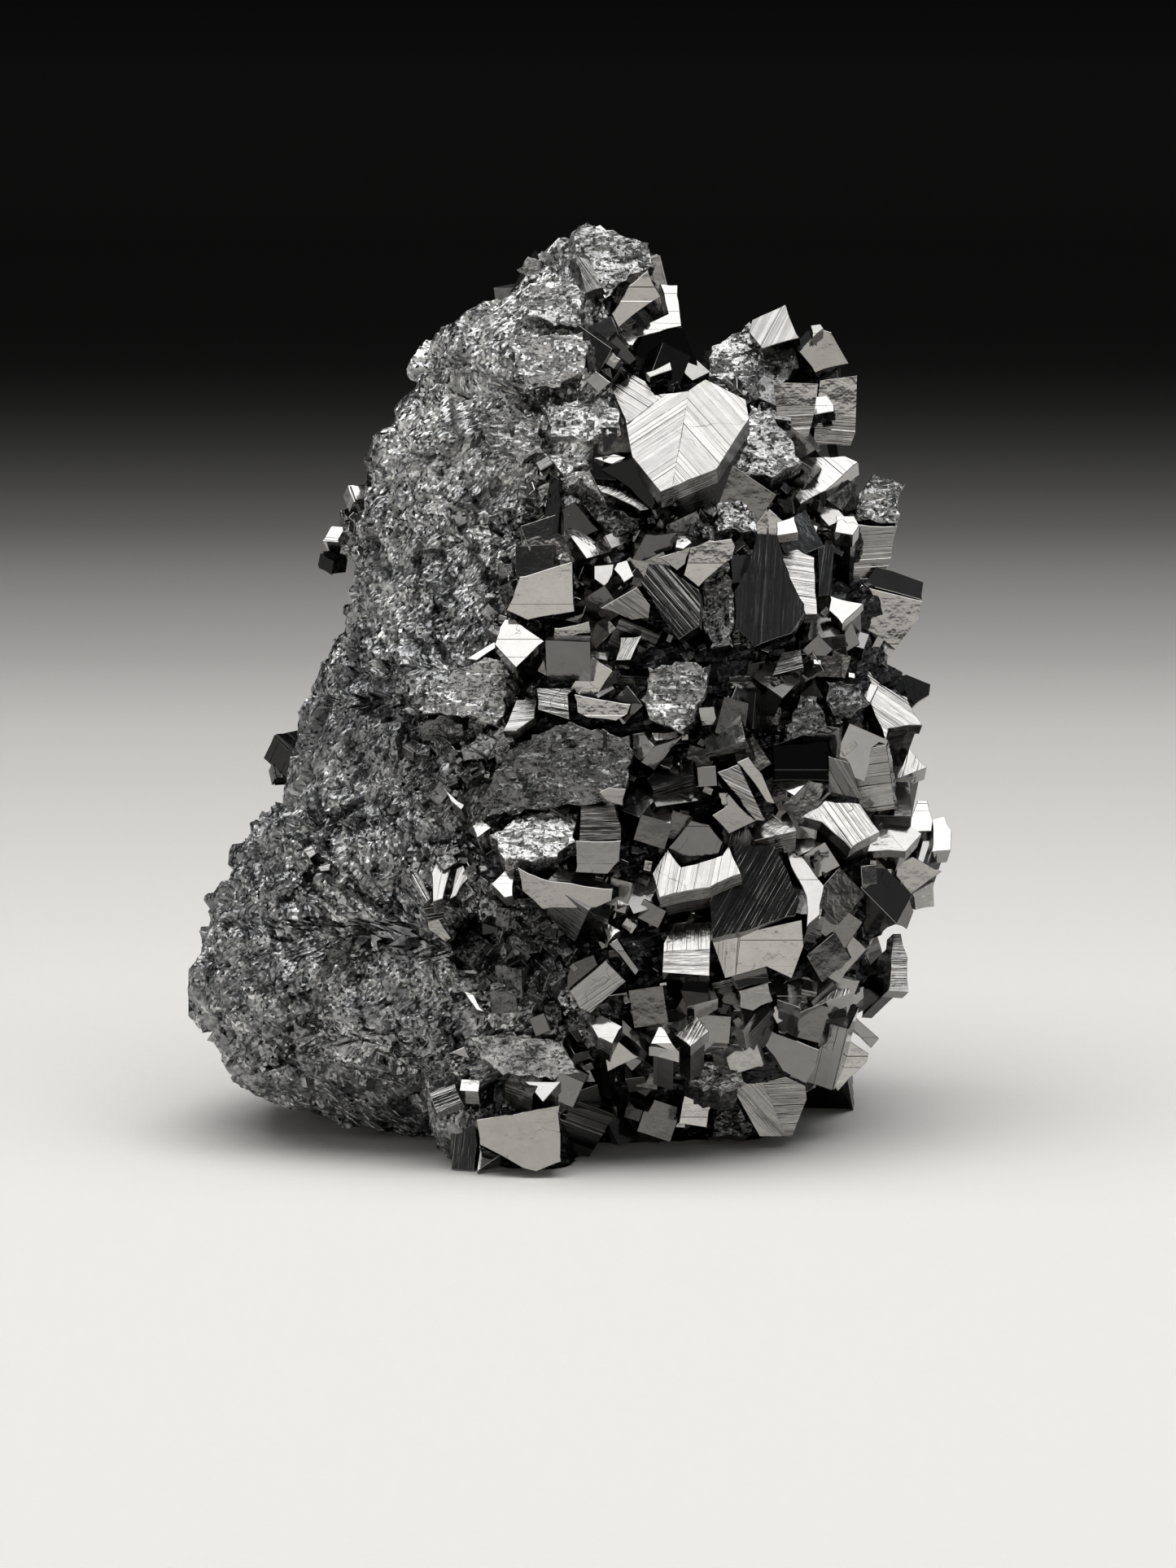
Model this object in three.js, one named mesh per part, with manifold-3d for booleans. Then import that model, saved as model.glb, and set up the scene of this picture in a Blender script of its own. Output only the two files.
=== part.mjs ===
// Bixbyite specimen: a broken mass of granular bixbyite with a crust of black, mirror-bright blocky crystals.
// Lengths are millimetres and angles are degrees. +Z is up and the show face looks towards -Y.
import * as THREE from 'three';
import { mergeVertices } from 'three/addons/utils/BufferGeometryUtils.js';
import Module from 'manifold-3d';

const wasm = await Module();
wasm.setup();

// The show face is laid out in a plane seen square on from this far above the horizon.
// In that plane x runs right, w runs up from the front edge of the base, and depth runs away from the viewer.
const SIGHT_TILT = THREE.MathUtils.degToRad(10);

// Edges and thickness of the mass at heights w: [w, value].
const LEFT_EDGE = [
  [-6, -6.5], [-0.5, -9.3], [0.4, -13], [1.4, -17], [2.7, -20.4], [4.5, -21.8], [6.5, -22.9], [9.3, -23.8],
  [12.5, -23.1], [15.6, -21.5], [18.8, -20.4], [20.2, -18.2], [22.5, -17.2], [25, -16.6], [27.5, -16.2],
  [30.5, -14.5], [33, -13.7], [36, -13.4], [38.5, -12.9], [40.2, -11.9], [42.2, -12.2], [44.2, -11],
  [46.4, -9.5], [47.4, -9.4], [49.8, -8.3], [51.2, -5.8], [53, -3.4], [54.4, -1.9], [55.6, -0.2],
];
const RIGHT_EDGE = [
  [-6, 10], [0, 13], [2.5, 14.6], [5, 16.4], [8, 17.6], [10, 18.4], [12.5, 18.8], [15, 20.4], [17.5, 21],
  [20, 20.8], [22.5, 20.2], [25, 20], [27.5, 20.2], [29.5, 19.4], [31, 19.2], [33, 19.2], [35, 17.8],
  [37.5, 18],
  [39.8, 17], [41.3, 15.4], [43, 15.4], [46.2, 14.6], [47.2, 7.2], [48.8, 5.6], [51, 4.4], [53.6, 3.8],
  [55.6, 1.6],
];
const FRONT_THICKNESS = [
  [-6, 8], [0, 9.6], [8, 11.4], [16, 12], [26, 11], [36, 9.4], [46, 7.2], [52, 4.8], [55.6, 2],
];
const BACK_THICKNESS = [
  [-6, 10], [0, 12], [8, 14], [18, 14.4], [28, 13.4], [38, 11.4], [46, 8.6], [52, 5.6], [55.6, 2.6],
];

// Sections of the mass follow |u|^p + |v|^p = 1, blunter where crystals cover it than where it broke.
const SECTION_POWER = 2.4;
// Half turns around a section where it has a corner: from the left along the front to 1, the back to 2.
const TURNS = [0, 0.07, 0.15, 0.23, 0.31, 0.39, 0.47, 0.57, 0.7, 0.85, 1, 1.2, 1.4, 1.6, 1.8];
const GRAIN_JITTER = 0.34;

// Towards the floor the show face is set back, apart from the foot that it stands on at the front.
const SETBACK = { share: 0.85, fromW: 7, toW: 0, footLeft: -9.5, footRight: 1, footEdge: 2 };

// Bosses, ledges and pits of the broken face: centre, half sizes and height, in the show-face plane.
const RELIEF = [
  { x: -1, w: 51, rx: 2.6, rw: 2.2, height: 1.1 },
  { x: -1.6, w: 47.3, rx: 2.6, rw: 1.6, height: 0.9 },
  { x: -2, w: 45.2, rx: 3.8, rw: 0.7, height: -1.1 },
  { x: 0.5, w: 43, rx: 3, rw: 1.6, height: 0.9 },
  { x: -7.6, w: 47.6, rx: 1.8, rw: 1.5, height: 0.8 },
  { x: -8, w: 40, rx: 2.4, rw: 3.4, height: 0.8 },
  { x: -4.5, w: 33.5, rx: 1.6, rw: 3, height: -0.7 },
  { x: -11, w: 30, rx: 2.8, rw: 3, height: 0.8 },
  { x: -6.5, w: 27.5, rx: 2.2, rw: 1.6, height: 0.9 },
  { x: -10.5, w: 22, rx: 2, rw: 1.4, height: -0.9 },
  { x: -7.4, w: 21.4, rx: 1.8, rw: 1.3, height: 0.9 },
  { x: -15.5, w: 21, rx: 2, rw: 1.5, height: 0.7 },
  { x: -16.4, w: 16.5, rx: 1.6, rw: 0.8, height: -1.2 },
  { x: -19.5, w: 14, rx: 2.6, rw: 3, height: 0.9 },
  { x: -13.5, w: 11, rx: 1.6, rw: 2.4, height: -0.9 },
  { x: -18, w: 9, rx: 2.8, rw: 3, height: 1 },
  { x: -15, w: 6.6, rx: 2.6, rw: 0.8, height: -1 },
  { x: -20.5, w: 5.2, rx: 2.4, rw: 0.8, height: -0.9 },
  { x: -10.5, w: 5, rx: 3.4, rw: 2, height: 0.9 },
  { x: -6, w: 12.5, rx: 1.3, rw: 1.8, height: -2 },
  { x: -3, w: 9.5, rx: 3, rw: 2.4, height: 0.9 },
];

// Crystal faces seen on the show face: name, yaw to the right, pitch up, how far the face stands
// proud of the mass, and its corners x, w in the show-face plane.
const FACES = [
  // Summit and crown
  ['summit block', 10, 22, 1.2, [0.1, 55.8, 1.1, 56.6, 4.9, 55.3, 5.3, 53.8, 3.5, 52.8, 2, 51.2, 1.1, 51.9,
    0.1, 54.2]],
  ['crown', 8, -5, 2.2, [4.8, 53.3, 5.6, 51.7, 3, 49.8, 2.6, 50.6, 3.6, 52.3]],
  ['crown edge', 12, 38, 1.6, [5.6, 52.9, 6.7, 52.8, 6.9, 50.1, 3.1, 49, 3, 49.5, 6.1, 50.9]],
  ['under crown', -6, 10, 1.4, [4.5, 49.4, 6.9, 50, 7.8, 48, 7.9, 47.1, 6.3, 47.4, 4.6, 46.7, 3.8, 47.8]],
  // Saddle
  ['saddle cube', -10, -8, 2, [1.6, 47.7, 2.3, 48.6, 3.1, 47.7, 2.7, 47.1]],
  ['saddle side', 40, -20, 1.6, [2.9, 48.8, 3.7, 48.4, 3.2, 47.7, 2.4, 48.5]],
  ['chevron', -4, 38, 2.4, [3.2, 47.2, 4.6, 46.4, 5.2, 45.5, 7.3, 45.8, 8.3, 46.5, 10.7, 45.2, 10.9, 44,
    8.9, 40.9, 5.5, 39.4,
    3.8, 41.6, 3.4, 44, 2.6, 45.9]],
  ['chevron foot', -20, -20, 1.6, [1.8, 40.9, 3.8, 41.6, 5.5, 39.4, 5, 38.4, 3.3, 40]],
  // Shoulder
  ['shoulder', 5, 20, 1.2, [8.8, 49, 11.2, 50.6, 12, 48.7, 14.2, 48.8, 14.2, 47.6, 13, 46.5, 10.9, 45.6,
    8.8, 45.8, 8.4, 47.3]],
  ['shoulder tip', -8, 34, 1.6, [11.3, 50.6, 13.4, 51.6, 14.2, 49.4, 11.9, 48.7, 11.1, 49.8]],
  ['shoulder gable', 6, -4, 1.4, [14.2, 48.6, 15.5, 50, 16.2, 49.8, 17.3, 47.9, 15.2, 47.3]],
  ['shoulder left', -3, -5, 2.4, [12.5, 46.4, 15.2, 46.3, 15, 44.6, 14.6, 43.1, 14.4, 43, 12.7, 44.4]],
  ['shoulder right', 5, -5, 1.6, [15.5, 46.8, 17.8, 47.1, 17.7, 43.6, 17.4, 42.8, 15.1, 42.9, 15.2, 44.4]],
  ['shoulder bead', -10, 32, 3, [15, 45.7, 15.9, 45.8, 16.3, 45.2, 16.3, 44.8, 15.1, 44.6]],
  ['shoulder apron', -6, 36, 1.8, [14.2, 41.9, 16.9, 42, 17.7, 41.6, 15.7, 39.8, 13.8, 38.8, 14.3, 40.4]],
  ['shoulder rubble', 4, 28, 1.4, [11, 45, 12.5, 44.4, 13.7, 42.7, 14.2, 41.5, 12.3, 40.4, 10.7, 40.4, 9,
    41, 10, 43.1]],
  // Upper right
  ['right rim', 10, 16, 1.4, [18.8, 41, 20.9, 40.5, 20.3, 38, 17.6, 38, 17.9, 39.8]],
  ['right pillar', 18, -10, 1.8, [16.5, 37.9, 20.3, 37.8, 19.9, 35.5, 18.8, 33.3, 16.1, 33, 16.3, 35.5]],
  ['right spark', 0, 36, 3, [16.3, 38.2, 17.4, 38.2, 17.7, 37.6, 17.3, 37, 16.2, 37.2]],
  ['right slab', 8, -5, 3, [17.4, 33.4, 18, 34.1, 21.8, 33.1, 21.6, 32, 20.1, 30.1, 17.6, 31.8]],
  ['right slab top', 5, 14, 2, [19, 35.3, 20, 35, 21.9, 34.3, 21.8, 33.2, 18.1, 34.2]],
  ['right wedge', -4, 38, 2.2, [15.9, 33.3, 17.9, 32.8, 16.6, 31.5, 15.8, 32.4]],
  ['night block', -4, 13, 2.2, [11.4, 37, 12.6, 36.9, 13.3, 34.6, 14.2, 32.7, 14.2, 32.1, 13.4, 30.9, 11.2,
    30.1, 10, 31.3, 10, 33.5,
    10.9, 35.3]],
  ['night flank', 6, 33, 1.8, [12.7, 35.8, 13.9, 36.1, 14.9, 35.6, 15, 32.1, 14.3, 32.1, 13.5, 33.9]],
  ['night strip', 10, 12, 1.2, [15.1, 36.5, 16.2, 36.3, 16, 33.3, 15.2, 33.3]],
  ['night spark', 0, 38, 1.8, [12.6, 37.7, 13.7, 38.1, 13.9, 37.1, 12.6, 36.9]],
  // Upper middle
  ['lozenge', 2, -5, 2.8, [7.3, 36.1, 8.4, 36.5, 9.8, 36.6, 10, 36.2, 9.8, 35.4, 7.8, 33.7, 6.9, 34.4]],
  ['lozenge left', 0, -6, 2.2, [5.4, 35.5, 7.4, 36.2, 7, 35.1, 6.5, 34.7]],
  ['lozenge shade', 12, -14, 1.6, [4.6, 36.9, 6.5, 37, 6.2, 36, 4.4, 35.3, 3.8, 35.4]],
  ['lozenge spark', 0, 36, 2.2, [6.5, 36.7, 6.9, 36.9, 7.4, 36.4, 6.9, 36, 6.4, 36.1]],
  ['rubble band', 0, 14, 0.9, [8.1, 35, 9.7, 35.3, 10, 33.3, 9.9, 30, 8.5, 30, 7.9, 32]],
  ['rubble patch', 0, 26, 1, [8.8, 39.4, 9.6, 40.6, 10.2, 40.6, 10.2, 39.5, 11.3, 38.2, 11.4, 37.2, 8.8, 37]],
  ['twin left', -12, 30, 1.6, [1.5, 35, 2.7, 35.1, 2.6, 34.5, 2.2, 33.7, 1.5, 34.2]],
  ['twin right', 10, 32, 1.6, [2.9, 35.2, 3.5, 35.4, 3.9, 34.4, 3.3, 34, 2.7, 34.8]],
  ['grey slab', -6, -5, 2.4, [-3, 34.3, 0.2, 35.2, 0.3, 32.2, -2.5, 31.7, -3.8, 32.3, -3.3, 33.5]],
  ['white kite', -6, 40, 2.6, [-3.9, 31.7, -3.3, 31.7, -1.5, 30.4, -3.2, 28.8, -4.5, 30.2, -4.2, 31.2]],
  ['grey step', 0, -5, 2, [-0.9, 31.2, 1.2, 31.6, 1.3, 30.9, 0.1, 30.7, -0.2, 30.2, -1, 30.2]],
  ['tan block', 6, -7, 2.2, [1.9, 32.4, 4.1, 33.7, 4.9, 32.6, 4.8, 31.8, 3.8, 31.7]],
  ['curved block', -10, 12, 2.4, [4.3, 34, 4.8, 35.1, 5.7, 35, 7.8, 33.5, 7.9, 32.6, 7.8, 31.3, 6.6, 30.5,
    5.6, 31.8]],
  ['comb', 5, 26, 1.4, [3.1, 30.7, 4.4, 30.8, 3.7, 29.3, 2.8, 29.3]],
  ['cave left', -30, 8, 0.8, [-1.2, 40.7, -0.6, 40.3, -0.5, 39, -0.7, 37, -1.6, 36.8, -1.5, 38.5]],
  ['cave wedge', -12, -16, 1, [0.3, 38.9, 1.8, 37.2, 0.4, 36.6, -0.4, 37, -0.4, 38.5]],
  ['cave floor', 0, 14, 0.6, [0.9, 38.9, 2, 38.9, 4.5, 38, 4, 37, 2.7, 36.7, 1.3, 38.1]],
  ['cave blade', 0, 30, 1, [1.6, 40, 3.5, 39.8, 4.8, 38.5, 4.3, 38.4, 2.9, 39.2, 1.9, 39.6]],
  ['cave glint', 0, 38, 1.4, [1.5, 41.6, 2.7, 41.8, 3.5, 41.6, 3.1, 41.1, 2.3, 41.3]],
  // Middle
  ['middle strip', 0, -5, 2, [0.3, 27.2, 3.7, 26.6, 3.5, 26, 2.8, 25.6, 1.1, 25.8, 0.5, 26.1]],
  ['middle ribs', -8, 20, 1.6, [-2, 27.6, 0.3, 27.6, -0.1, 27.2, 0, 25.7, -1.9, 26.3]],
  ['middle scale', -15, 34, 1.6, [-4, 25, -3.2, 26.9, -2, 27, -2.1, 25.8, -3.2, 25]],
  ['rough block', -4, 6, 2.6, [4.7, 28.9, 6.4, 29.2, 8.5, 29, 8.3, 27.7, 7.5, 25.6, 6.9, 24.8, 4.8, 25.7,
    4.3, 26.9]],
  ['corner left', -25, -6, 2, [3.8, 24.8, 4.5, 24.9, 5.1, 24.1, 4.3, 23.1, 3.8, 23.6]],
  ['corner top', 0, 26, 1.6, [4.5, 24.9, 6.5, 25, 6.6, 24.6, 5.1, 24.1]],
  ['corner right', 30, -25, 1.6, [5.1, 24.1, 6.6, 24.6, 6.9, 24.8, 5.1, 22.6, 4.3, 23.1]],
  ['broken block', -8, 4, 1.8, [-4.5, 22.6, -3.7, 23.8, -2.3, 24.8, 0, 25.6, 2.1, 25.1, 3.6, 24.7, 3.8,
    23.8, 3.6, 22.3, 3.2, 20.6,
    0.6, 20.5, -3, 20, -5, 19.8, -5.5, 20.8]],
  ['broken window', 0, -5, 2.6, [1.8, 21.3, 2.4, 21.6, 3.4, 21.5, 3.2, 20.5, 2.2, 20.8]],
  ['broken apron', -4, 36, 1.6, [-4.8, 18.7, -3.2, 19.8, -1, 20.3, 0.6, 20.3, 0.4, 18.3, -0.7, 17.5, -2.3,
    17.2, -3.9, 17.3]],
  ['ribbed top', 0, 14, 1.9, [0.7, 20.5, 2.7, 20.6, 3.1, 19.3, 3.1, 18.4, 0.6, 18.4]],
  ['ribbed front', 0, -6, 2.4, [0.4, 18.4, 3.1, 18.4, 3, 17.2, 2.3, 16.4, 0.4, 16.5]],
  ['long slab', -3, -4, 2.6, [-3.1, 16.8, -1.6, 16.1, 2.6, 15.5, 2.5, 14.8, 1.6, 14.4, -1.6, 14.3, -2.8,
    15.4]],
  ['long slab tip', -10, 32, 1.6, [-4.7, 15.8, -3.7, 16.8, -3.3, 16.6, -3.4, 15.1, -3.9, 15]],
  ['slat inner', 0, -5, 2.4, [8.9, 22.5, 10.2, 23, 11.8, 19.6, 11.2, 19.6]],
  ['slat outer', 4, -4, 2.8, [10.1, 23.1, 10.8, 23.4, 11.6, 22.4, 12.4, 20.6, 11.9, 20.7]],
  ['slat foot', 0, -5, 2.6, [8.6, 19.9, 9.5, 20.5, 9.4, 21, 9.6, 21.2, 11.2, 19.6, 9.6, 18.8]],
  ['saw face', -6, 36, 2.4, [5, 16.4, 5.9, 17.9, 6.7, 16.8, 9.2, 17.5, 9.6, 18.1, 10.3, 16.4, 8.4, 15.6,
    5.4, 15]],
  ['saw shade', -10, -18, 1.6, [5.9, 17.9, 7.3, 19.6, 8.4, 19.3, 9.2, 18.3, 9, 17.6, 6.9, 16.9]],
  ['black block', 6, 14, 2.4, [8.4, 15.4, 10.3, 16.4, 9.8, 18.1, 12.4, 18.1, 13.9, 14.8, 13.6, 13.9, 10.5,
    12.9, 8.6, 12.5]],
  ['white strap', 12, 36, 1.8, [13.1, 17.7, 14, 17.5, 15.4, 15.6, 15.1, 13.9, 14.3, 13.2, 14.3, 15, 13.4,
    16.8]],
  // Right
  ['rubble plate', 0, 8, 1.6, [13.1, 25.4, 14, 27.2, 15, 27.1, 16, 25, 12.9, 24.3]],
  ['dark plate', 0, 13, 1.4, [12.3, 24.2, 15.6, 24.4, 15.7, 22, 12.4, 22]],
  ['step plate', 0, 20, 1.4, [12.3, 28.4, 12.9, 29.8, 14.1, 30, 14.2, 28.9]],
  ['dark knob', 8, 12, 1.8, [15.6, 28.1, 17.8, 27.9, 18.3, 26.7, 17.1, 25.8, 16.2, 25.4, 15.6, 26.8]],
  ['brown fan', 8, -12, 1.6, [15.7, 23.5, 17, 23.1, 17.9, 20.8, 15.7, 21.3]],
  ['washboard', 8, 28, 2.4, [14, 19.8, 15.5, 20.8, 17.6, 20.6, 18.8, 18.9, 17, 17.9, 15.3, 19.5]],
  ['washboard lip', 0, 28, 1.6, [17.4, 17.9, 19.7, 18.7, 20.5, 17.7, 17.6, 17.7]],
  ['rim bright', 6, 38, 1.8, [18.6, 22.7, 19.9, 23.5, 20.1, 24.4, 20.7, 24.5, 22.1, 22.8, 18.8, 21.5]],
  ['rim fan', 10, 31, 1.8, [17.4, 29.2, 18, 29.3, 19.1, 27.9, 20.7, 27.1, 21.6, 25.4, 19.5, 25.2, 19.3,
    24.4, 18.6, 26.3]],
  ['rim dark', 12, 14, 1, [20.1, 28.4, 20.9, 28.6, 22.4, 28, 22.3, 27.3, 21.4, 26.7]],
  ['rim white', 12, 38, 1, [22.5, 19.6, 23.3, 19.8, 23.7, 18.9, 23.6, 17.7, 22.4, 17.6]],
  ['rim light', 5, 28, 1.4, [20.9, 19.3, 21.6, 20.8, 22.2, 20.8, 22.5, 19.6, 22.4, 18.9, 20.9, 18.8]],
  ['rim grey', 10, -4, 2, [19.7, 16.6, 21.2, 17.3, 23.1, 16.4, 21.1, 15]],
  ['rim low', 16, -3, 1.4, [21.2, 15, 22.6, 15.8, 22.6, 14.2, 21.4, 14]],
  ['rim steel', 22, -14, 2, [19.1, 14.7, 19.7, 16, 21, 14.9, 21.3, 13.9, 20.9, 12.8, 19.5, 13.3]],
  ['rim barrel', 20, 22, 1, [20.1, 12.5, 20.6, 12.5, 21, 11, 21, 8.9, 19.7, 9, 19.9, 11]],
  // Lower right
  ['wide slab', 2, -5, 2.6, [8.6, 12.4, 14, 13.6, 14.1, 12, 13.4, 10.1, 11.9, 10.8, 9.4, 10.1]],
  ['ribbon block', -4, 30, 2.2, [6.3, 13.3, 8.5, 13.5, 8.4, 10.3, 5.6, 10.5, 5.7, 12.2]],
  ['low tile', 0, -6, 2.4, [10.2, 9.3, 12, 9.8, 12.3, 8.7, 11.1, 8.1, 10.3, 8.3]],
  ['low tile top', 0, 15, 1.8, [9.7, 10.3, 11.9, 10.8, 12.2, 9.8, 10.2, 9.4]],
  ['low flash', 0, 40, 1.8, [12.2, 9.8, 14.1, 9.5, 14, 8.2, 12.6, 8.7]],
  ['low ribbon', 0, 38, 1.6, [13.9, 7.8, 14.2, 8.9, 17, 9.4, 17.3, 9.1]],
  ['low tab', 12, -8, 1.4, [16.7, 7.4, 17.3, 7.8, 19.2, 6, 18.7, 5.4]],
  ['low sheet', 6, -4, 2.2, [15.8, 7, 18.5, 5.1, 18.4, 4.6, 16.6, 2.8, 15, 4.5, 15.3, 5.5]],
  ['low grey', -6, -9, 2, [11.4, 6.6, 12.2, 6.8, 15.2, 5.6, 15, 4.5, 14.4, 3.5, 13, 4.3]],
  ['foot chevron', 3, -5, 1.8, [9.9, 3.1, 10.9, 4.7, 12.2, 4.3, 14.5, 3.2, 14.6, 2.4, 13.7, 0.1, 11.7, 0.1,
    10.3, 2.6]],
  ['foot light', -14, 28, 1.8, [7.2, 3.7, 8.9, 3, 8.4, 0.7, 6.7, 0.9]],
  ['foot dark', 0, 14, 1.4, [9.2, 3, 9.9, 2.8, 11.5, 0.5, 10.7, 0, 8.5, 0]],
  ['foot flash', 0, 34, 1.8, [6.6, 4.6, 7.5, 5.6, 8.2, 5, 10.3, 5.5, 10.6, 5.2, 10.6, 3.7, 9.2, 3.1, 7.3,
    3.7]],
  ['low comb', 0, 38, 1.8, [6.4, 6.7, 7.7, 7.8, 8.4, 6.9, 7.3, 6]],
  ['low fin', 0, 40, 1.8, [4.8, 6, 5.5, 7.6, 6.6, 5.6]],
  ['low white', 0, 38, 1.8, [1.2, 7.4, 1.9, 7.9, 3.2, 7.2, 2.6, 6.2, 1.7, 6.6]],
  ['low beige', 0, -5, 2, [2.2, 5.1, 2.9, 6.3, 4.2, 5.3, 2.3, 4.4]],
  ['low steel', 20, -14, 1.4, [3.2, 7.6, 4.7, 6.2, 4.5, 5.7, 3.2, 6.8]],
  ['low tan', 0, -10, 1.8, [0, 9.3, 2.2, 11.2, 3.4, 9.9, 1.3, 8, 0.6, 8.3]],
  ['low spark', 0, 38, 1.8, [1.9, 13.7, 3.1, 13, 2.3, 12.3]],
  ['low rail', 15, -6, 2, [2.4, 12.2, 2.9, 12.5, 4.2, 10.6, 4, 10.3]],
  // Front foot
  ['foot slab', -2, -5, 2.2, [-5.6, 1.5, -0.6, 2.4, -0.5, -1, -2, -1.6, -2.8, -1.4, -4, -0.7, -5.4, 0]],
  ['foot post', -15, 10, 1.6, [-7.3, 1.1, -5.7, 1.3, -5.6, 0, -5.8, -1.7, -7.2, -1.6]],
  ['foot tip', 0, 30, 2.2, [-5.5, -0.1, -4.2, -0.7, -5.6, -1.7]],
  ['foot roof', 0, 32, 1.4, [-2.7, 3.8, -0.5, 3.8, -1.6, 2.6]],
  ['ledge cube', -8, 18, 1.2, [-8.6, 3.4, -6.9, 3.7, -6.5, 2.6, -8, 1.9]],
];
const CORNERS = 4;
const FACE_ROOT = 4.6;

// The ragged line where the broken face ends and the crystals of the show face begin: [w, x].
const CRUST_LINE = [
  [-4, -7], [3.5, -6.5], [6, 0], [9, 0.5], [12, -1], [16, -4.5], [20, -6], [24, -5], [27, -3.5], [31, -4.2],
  [36, -2.2], [40, -0.6], [44, 2.6], [48, 1.4], [52, 1.6], [56, 0],
];

// Crystals that fill between the faces above, and those of the sides and back.
const FRONT_FILL = { step: 4.3, wander: 1.1, size: [2.6, 4.2], sink: 0.62, lean: 26 };
const BACK_FILL = {
  step: 6.6, columns: 7, wander: 1.2, size: [5.4, 8], sink: 0.3, inset: 0.5, lean: 55,
  fullHalf: 19, turnEnd: 0.76,
};
const FILL_LOW = 1.5;
const FRONT_FILL_HIGH = 54;
const BACK_FILL_HIGH = 43;
const FILL_STRETCH = [0.72, 1.2];
const SEEDS = { mass: 5, front: 41, back: 74 };

// Single crystals, each x, w, depth, size, yaw, pitch: small ones that peep past the left of the broken face,
// and those behind the summit and the shoulder.
const LOOSE_CRYSTALS = [
  [-13.1, 39.4, 1.5, 1.7, 25, 35], [-13.9, 37.3, 1.5, 2, -30, 40], [-14.2, 35.7, 1.2, 1.9, 20, 10], [-13,
  33.6, 3, 2.2, 40, 20],
  [-15.6, 26, 1, 1.6, 10, 40], [-17.2, 22.9, 1.5, 1.9, 35, -20], [-11.9, 43, 1.5, 1.9, -20, 15], [-12.6,
  29.5, 5, 3, 30, 30],
  [11.4, 46.2, 4.4, 5, 20, 15], [14, 45.4, 3, 4.6, -25, 10], [12.6, 47.4, 1.8, 4, 40, 25], [8.6, 45.2, 6,
  4.4, 10, -30],
  [3.2, 50.6, 3.6, 4.4, 30, 20], [-0.6, 50, 4.6, 4.8, -20, 30], [4.6, 48, 3.6, 4.2, 10, 45], [-4.6, 46.8,
  5.6, 5, 35, 20],
  [1.6, 53.2, 1.6, 3, 15, 35],
];

const BASE_BLOCK = 200;
const WELD = 0.004;

const lehmer = { multiplier: 48271, modulus: 2147483647 };

// Repeatable draws from 0 to 1.
function makeDraw(seed) {
  let state = seed;
  return (low = 0, high = 1) => {
    state = (state * lehmer.multiplier) % lehmer.modulus;
    return low + (high - low) * (state / lehmer.modulus);
  };
}

// Straight-line lookup in a table of [place, value].
function lookup(table, place) {
  const last = table.length - 1;
  if (place <= table[0][0]) return table[0][1];
  if (place >= table[last][0]) return table[last][1];
  const upper = table.findIndex(([at]) => at > place);
  const [from, start] = table[upper - 1];
  const [to, end] = table[upper];
  return start + (end - start) * (place - from) / (to - from);
}

function sectionAt(w) {
  const left = lookup(LEFT_EDGE, w);
  const right = lookup(RIGHT_EDGE, w);
  return { centre: (left + right) / 2, half: (right - left) / 2 };
}

function blunt(u) {
  return Math.pow(1 - Math.pow(Math.min(Math.abs(u), 1), SECTION_POWER), 1 / SECTION_POWER);
}

function setback(x, w) {
  const { share, fromW, toW, footLeft, footRight, footEdge } = SETBACK;
  const inFromLeft = THREE.MathUtils.smoothstep(x, footLeft, footLeft + footEdge);
  const inFromRight = 1 - THREE.MathUtils.smoothstep(x, footRight - footEdge, footRight);
  const down = 1 - THREE.MathUtils.smoothstep(w, toW, fromW);
  return 1 - share * down * (1 - inFromLeft * inFromRight);
}

function reliefAt(x, w) {
  let height = 0;
  for (const mark of RELIEF) {
    const away = ((x - mark.x) / mark.rx) ** 2 + ((w - mark.w) / mark.rw) ** 2;
    height += mark.height * Math.exp(-away);
  }
  return height;
}

// How far the front of the mass stands towards the viewer at x, w.
function frontAt(x, w) {
  const { centre, half } = sectionAt(w);
  return lookup(FRONT_THICKNESS, w) * setback(x, w) * blunt((x - centre) / half);
}

function backAt(x, w) {
  const { centre, half } = sectionAt(w);
  return lookup(BACK_THICKNESS, w) * blunt((x - centre) / half);
}

// From the show-face plane to the standing specimen.
function stand(x, w, towards) {
  const sin = Math.sin(SIGHT_TILT);
  const cos = Math.cos(SIGHT_TILT);
  return new THREE.Vector3(x, w * sin - towards * cos, w * cos + towards * sin);
}

function toSolid(geometry) {
  geometry.deleteAttribute('normal');
  geometry.deleteAttribute('uv');
  const welded = mergeVertices(geometry, WELD);
  return new wasm.Manifold(new wasm.Mesh({
    numProp: 3,
    vertProperties: new Float32Array(welded.attributes.position.array),
    triVerts: new Uint32Array(welded.index.array),
  }));
}

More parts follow.
